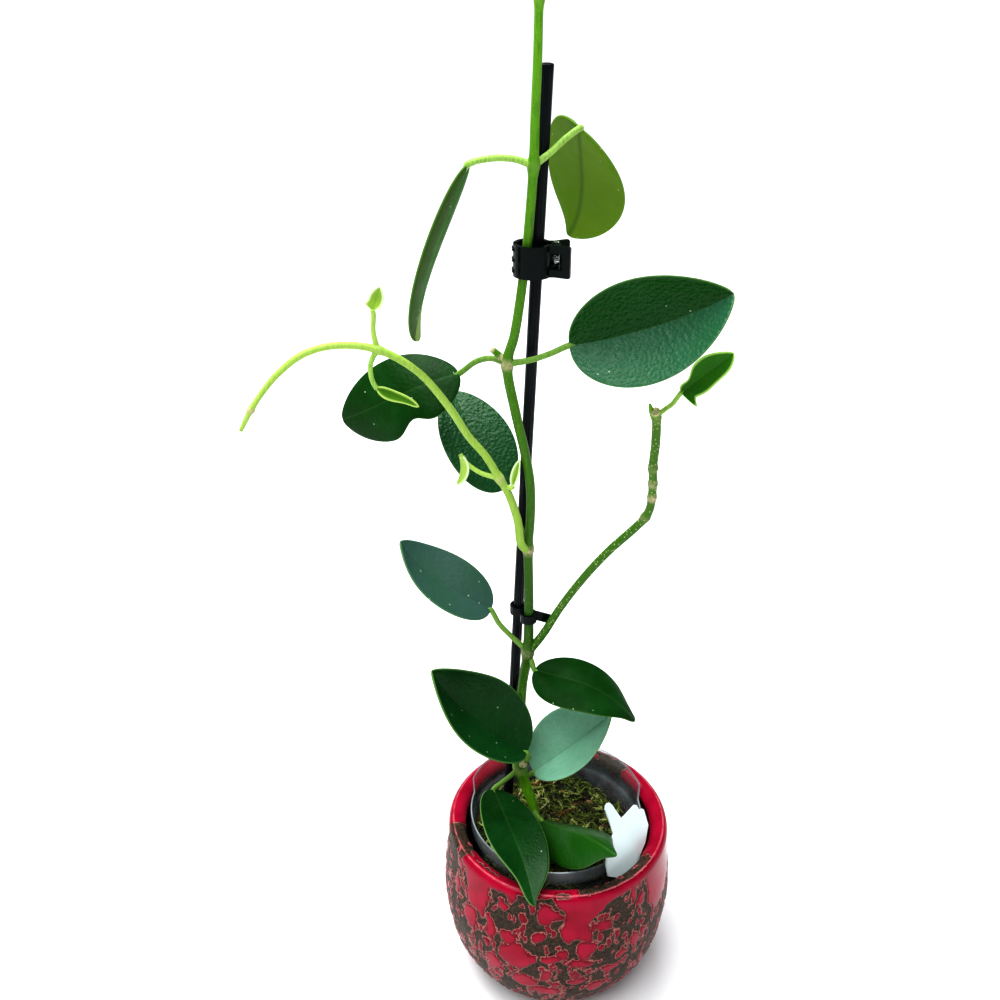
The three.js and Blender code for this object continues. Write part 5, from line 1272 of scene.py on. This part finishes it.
def sheetPlastic():
    # Cut polystyrene sheet: blank, bluish white, satin, with a very fine grain
    look = tagDesign
    material, add, place = newMaterial("whiteSheetPlastic")
    cloud = add("TexNoise", {"Vector": place, "Scale": perMm(9), "Detail": 3, "Roughness": 0.55})
    colour = add("Mix", {**blend, 0: cloud, 6: look["colours"][0], 7: look["colours"][1]}, 2)
    rough = add("MapRange", {**smooth, 0: cloud, 1: 0.3, 2: 0.7, 3: 0.35, 4: 0.48})
    # the real grain is finer and wouldn't show
    fine = add("TexNoise", {"Vector": place, "Scale": perMm(0.6), "Detail": 2, "Roughness": 0.55})
    relief = add("Bump", {"Strength": 1, "Distance": 0.03 * mm, "Height": fine})
    surface = add("BsdfPrincipled", {"IOR": 1.49, "Base Color": colour, "Roughness": rough, "Normal": relief})
    add("OutputMaterial", {"Surface": surface})
    return material


def dressNode(name, material, softness):
    # a node whose shape is right keeps it, with softened edges
    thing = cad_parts[name]
    thing.data.materials.clear()
    thing.data.materials.append(material)
    soften = thing.modifiers.new("softened edges", "BEVEL")
    soften.width = softness * mm
    soften.segments = 2
    soften.limit_method = "ANGLE"
    soften.angle_limit = math.radians(35)
    thing.data.shade_smooth()
    thing.modifiers.new("even shading", "WEIGHTED_NORMAL")


fit(stakeRod(), extrudedPlastic(), ["stake"])
clipPlastic, wire, tagPlastic = mouldedPlastic(), drawnSteel(), sheetPlastic()
for name in ("claw_front_jaw", "claw_back_jaw", "tie_clip"):
    dressNode(name, clipPlastic, clipDesign["softEdge"])
for name in ("claw_pin", "claw_spring"):
    dressNode(name, wire, clipDesign["softWire"])
for name in ("plant_tag_back", "plant_tag_front"):
    dressNode(name, tagPlastic, tagDesign["softEdge"])
print("stake, clips and tags made")


# Floor and light: white floor, broad overhead softbox, soft fill

studio = {
    "floor": "#f4f5f6", "skyColour": "#f2f6fb", "sky": 0.3, "sun": 3.4, "sunSpread": 50, "sunTurn": (18, -12),
    "box": 22, "boxSize": (1.1, 0.8), "boxPlace": (-0.35, 0.35, 1.5), "boxTurn": (-14, -14), "gamma": 0.8,
}


def whitePaper():
    # Matt paper sweep: pale, with no pattern of its own
    material, add, place = newMaterial("whitePaper")
    surface = add("BsdfPrincipled", {"Roughness": 0.9, "Base Color": studio["floor"]})
    add("OutputMaterial", {"Surface": surface})
    return material


floorMesh = bpy.data.meshes.new("floor")
floorMesh.from_pydata([(-30, -30, 0), (30, -30, 0), (30, 30, 0), (-30, 30, 0)], [], [(0, 1, 2, 3)])
floor = bpy.data.objects.new("floor", floorMesh)
bpy.context.scene.collection.objects.link(floor)
floor.data.materials.append(whitePaper())
floor.location.z = -0.0002

world = bpy.data.worlds.new("studio")
bpy.context.scene.world = world
world.use_nodes = True
world.node_tree.nodes["Background"].inputs[0].default_value = linearColour(studio["skyColour"])
world.node_tree.nodes["Background"].inputs[1].default_value = studio["sky"]

sun = bpy.data.objects.new("overhead", bpy.data.lights.new("overhead", "SUN"))
sun.data.energy = studio["sun"]
sun.data.angle = math.radians(studio["sunSpread"])
sun.rotation_euler = tuple(math.radians(turn) for turn in studio["sunTurn"]) + (0,)
bpy.context.scene.collection.objects.link(sun)
box = bpy.data.objects.new("softbox", bpy.data.lights.new("softbox", "AREA"))
box.data.shape = "RECTANGLE"
box.data.size, box.data.size_y = studio["boxSize"]
box.data.energy = studio["box"]
box.location = studio["boxPlace"]
box.rotation_euler = tuple(math.radians(turn) for turn in studio["boxTurn"]) + (0,)
bpy.context.scene.collection.objects.link(box)
bpy.context.scene.view_settings.view_transform = "Standard"
bpy.context.scene.view_settings.gamma = studio["gamma"]  # deepens the darks and leaves white as it is
print("studio made")
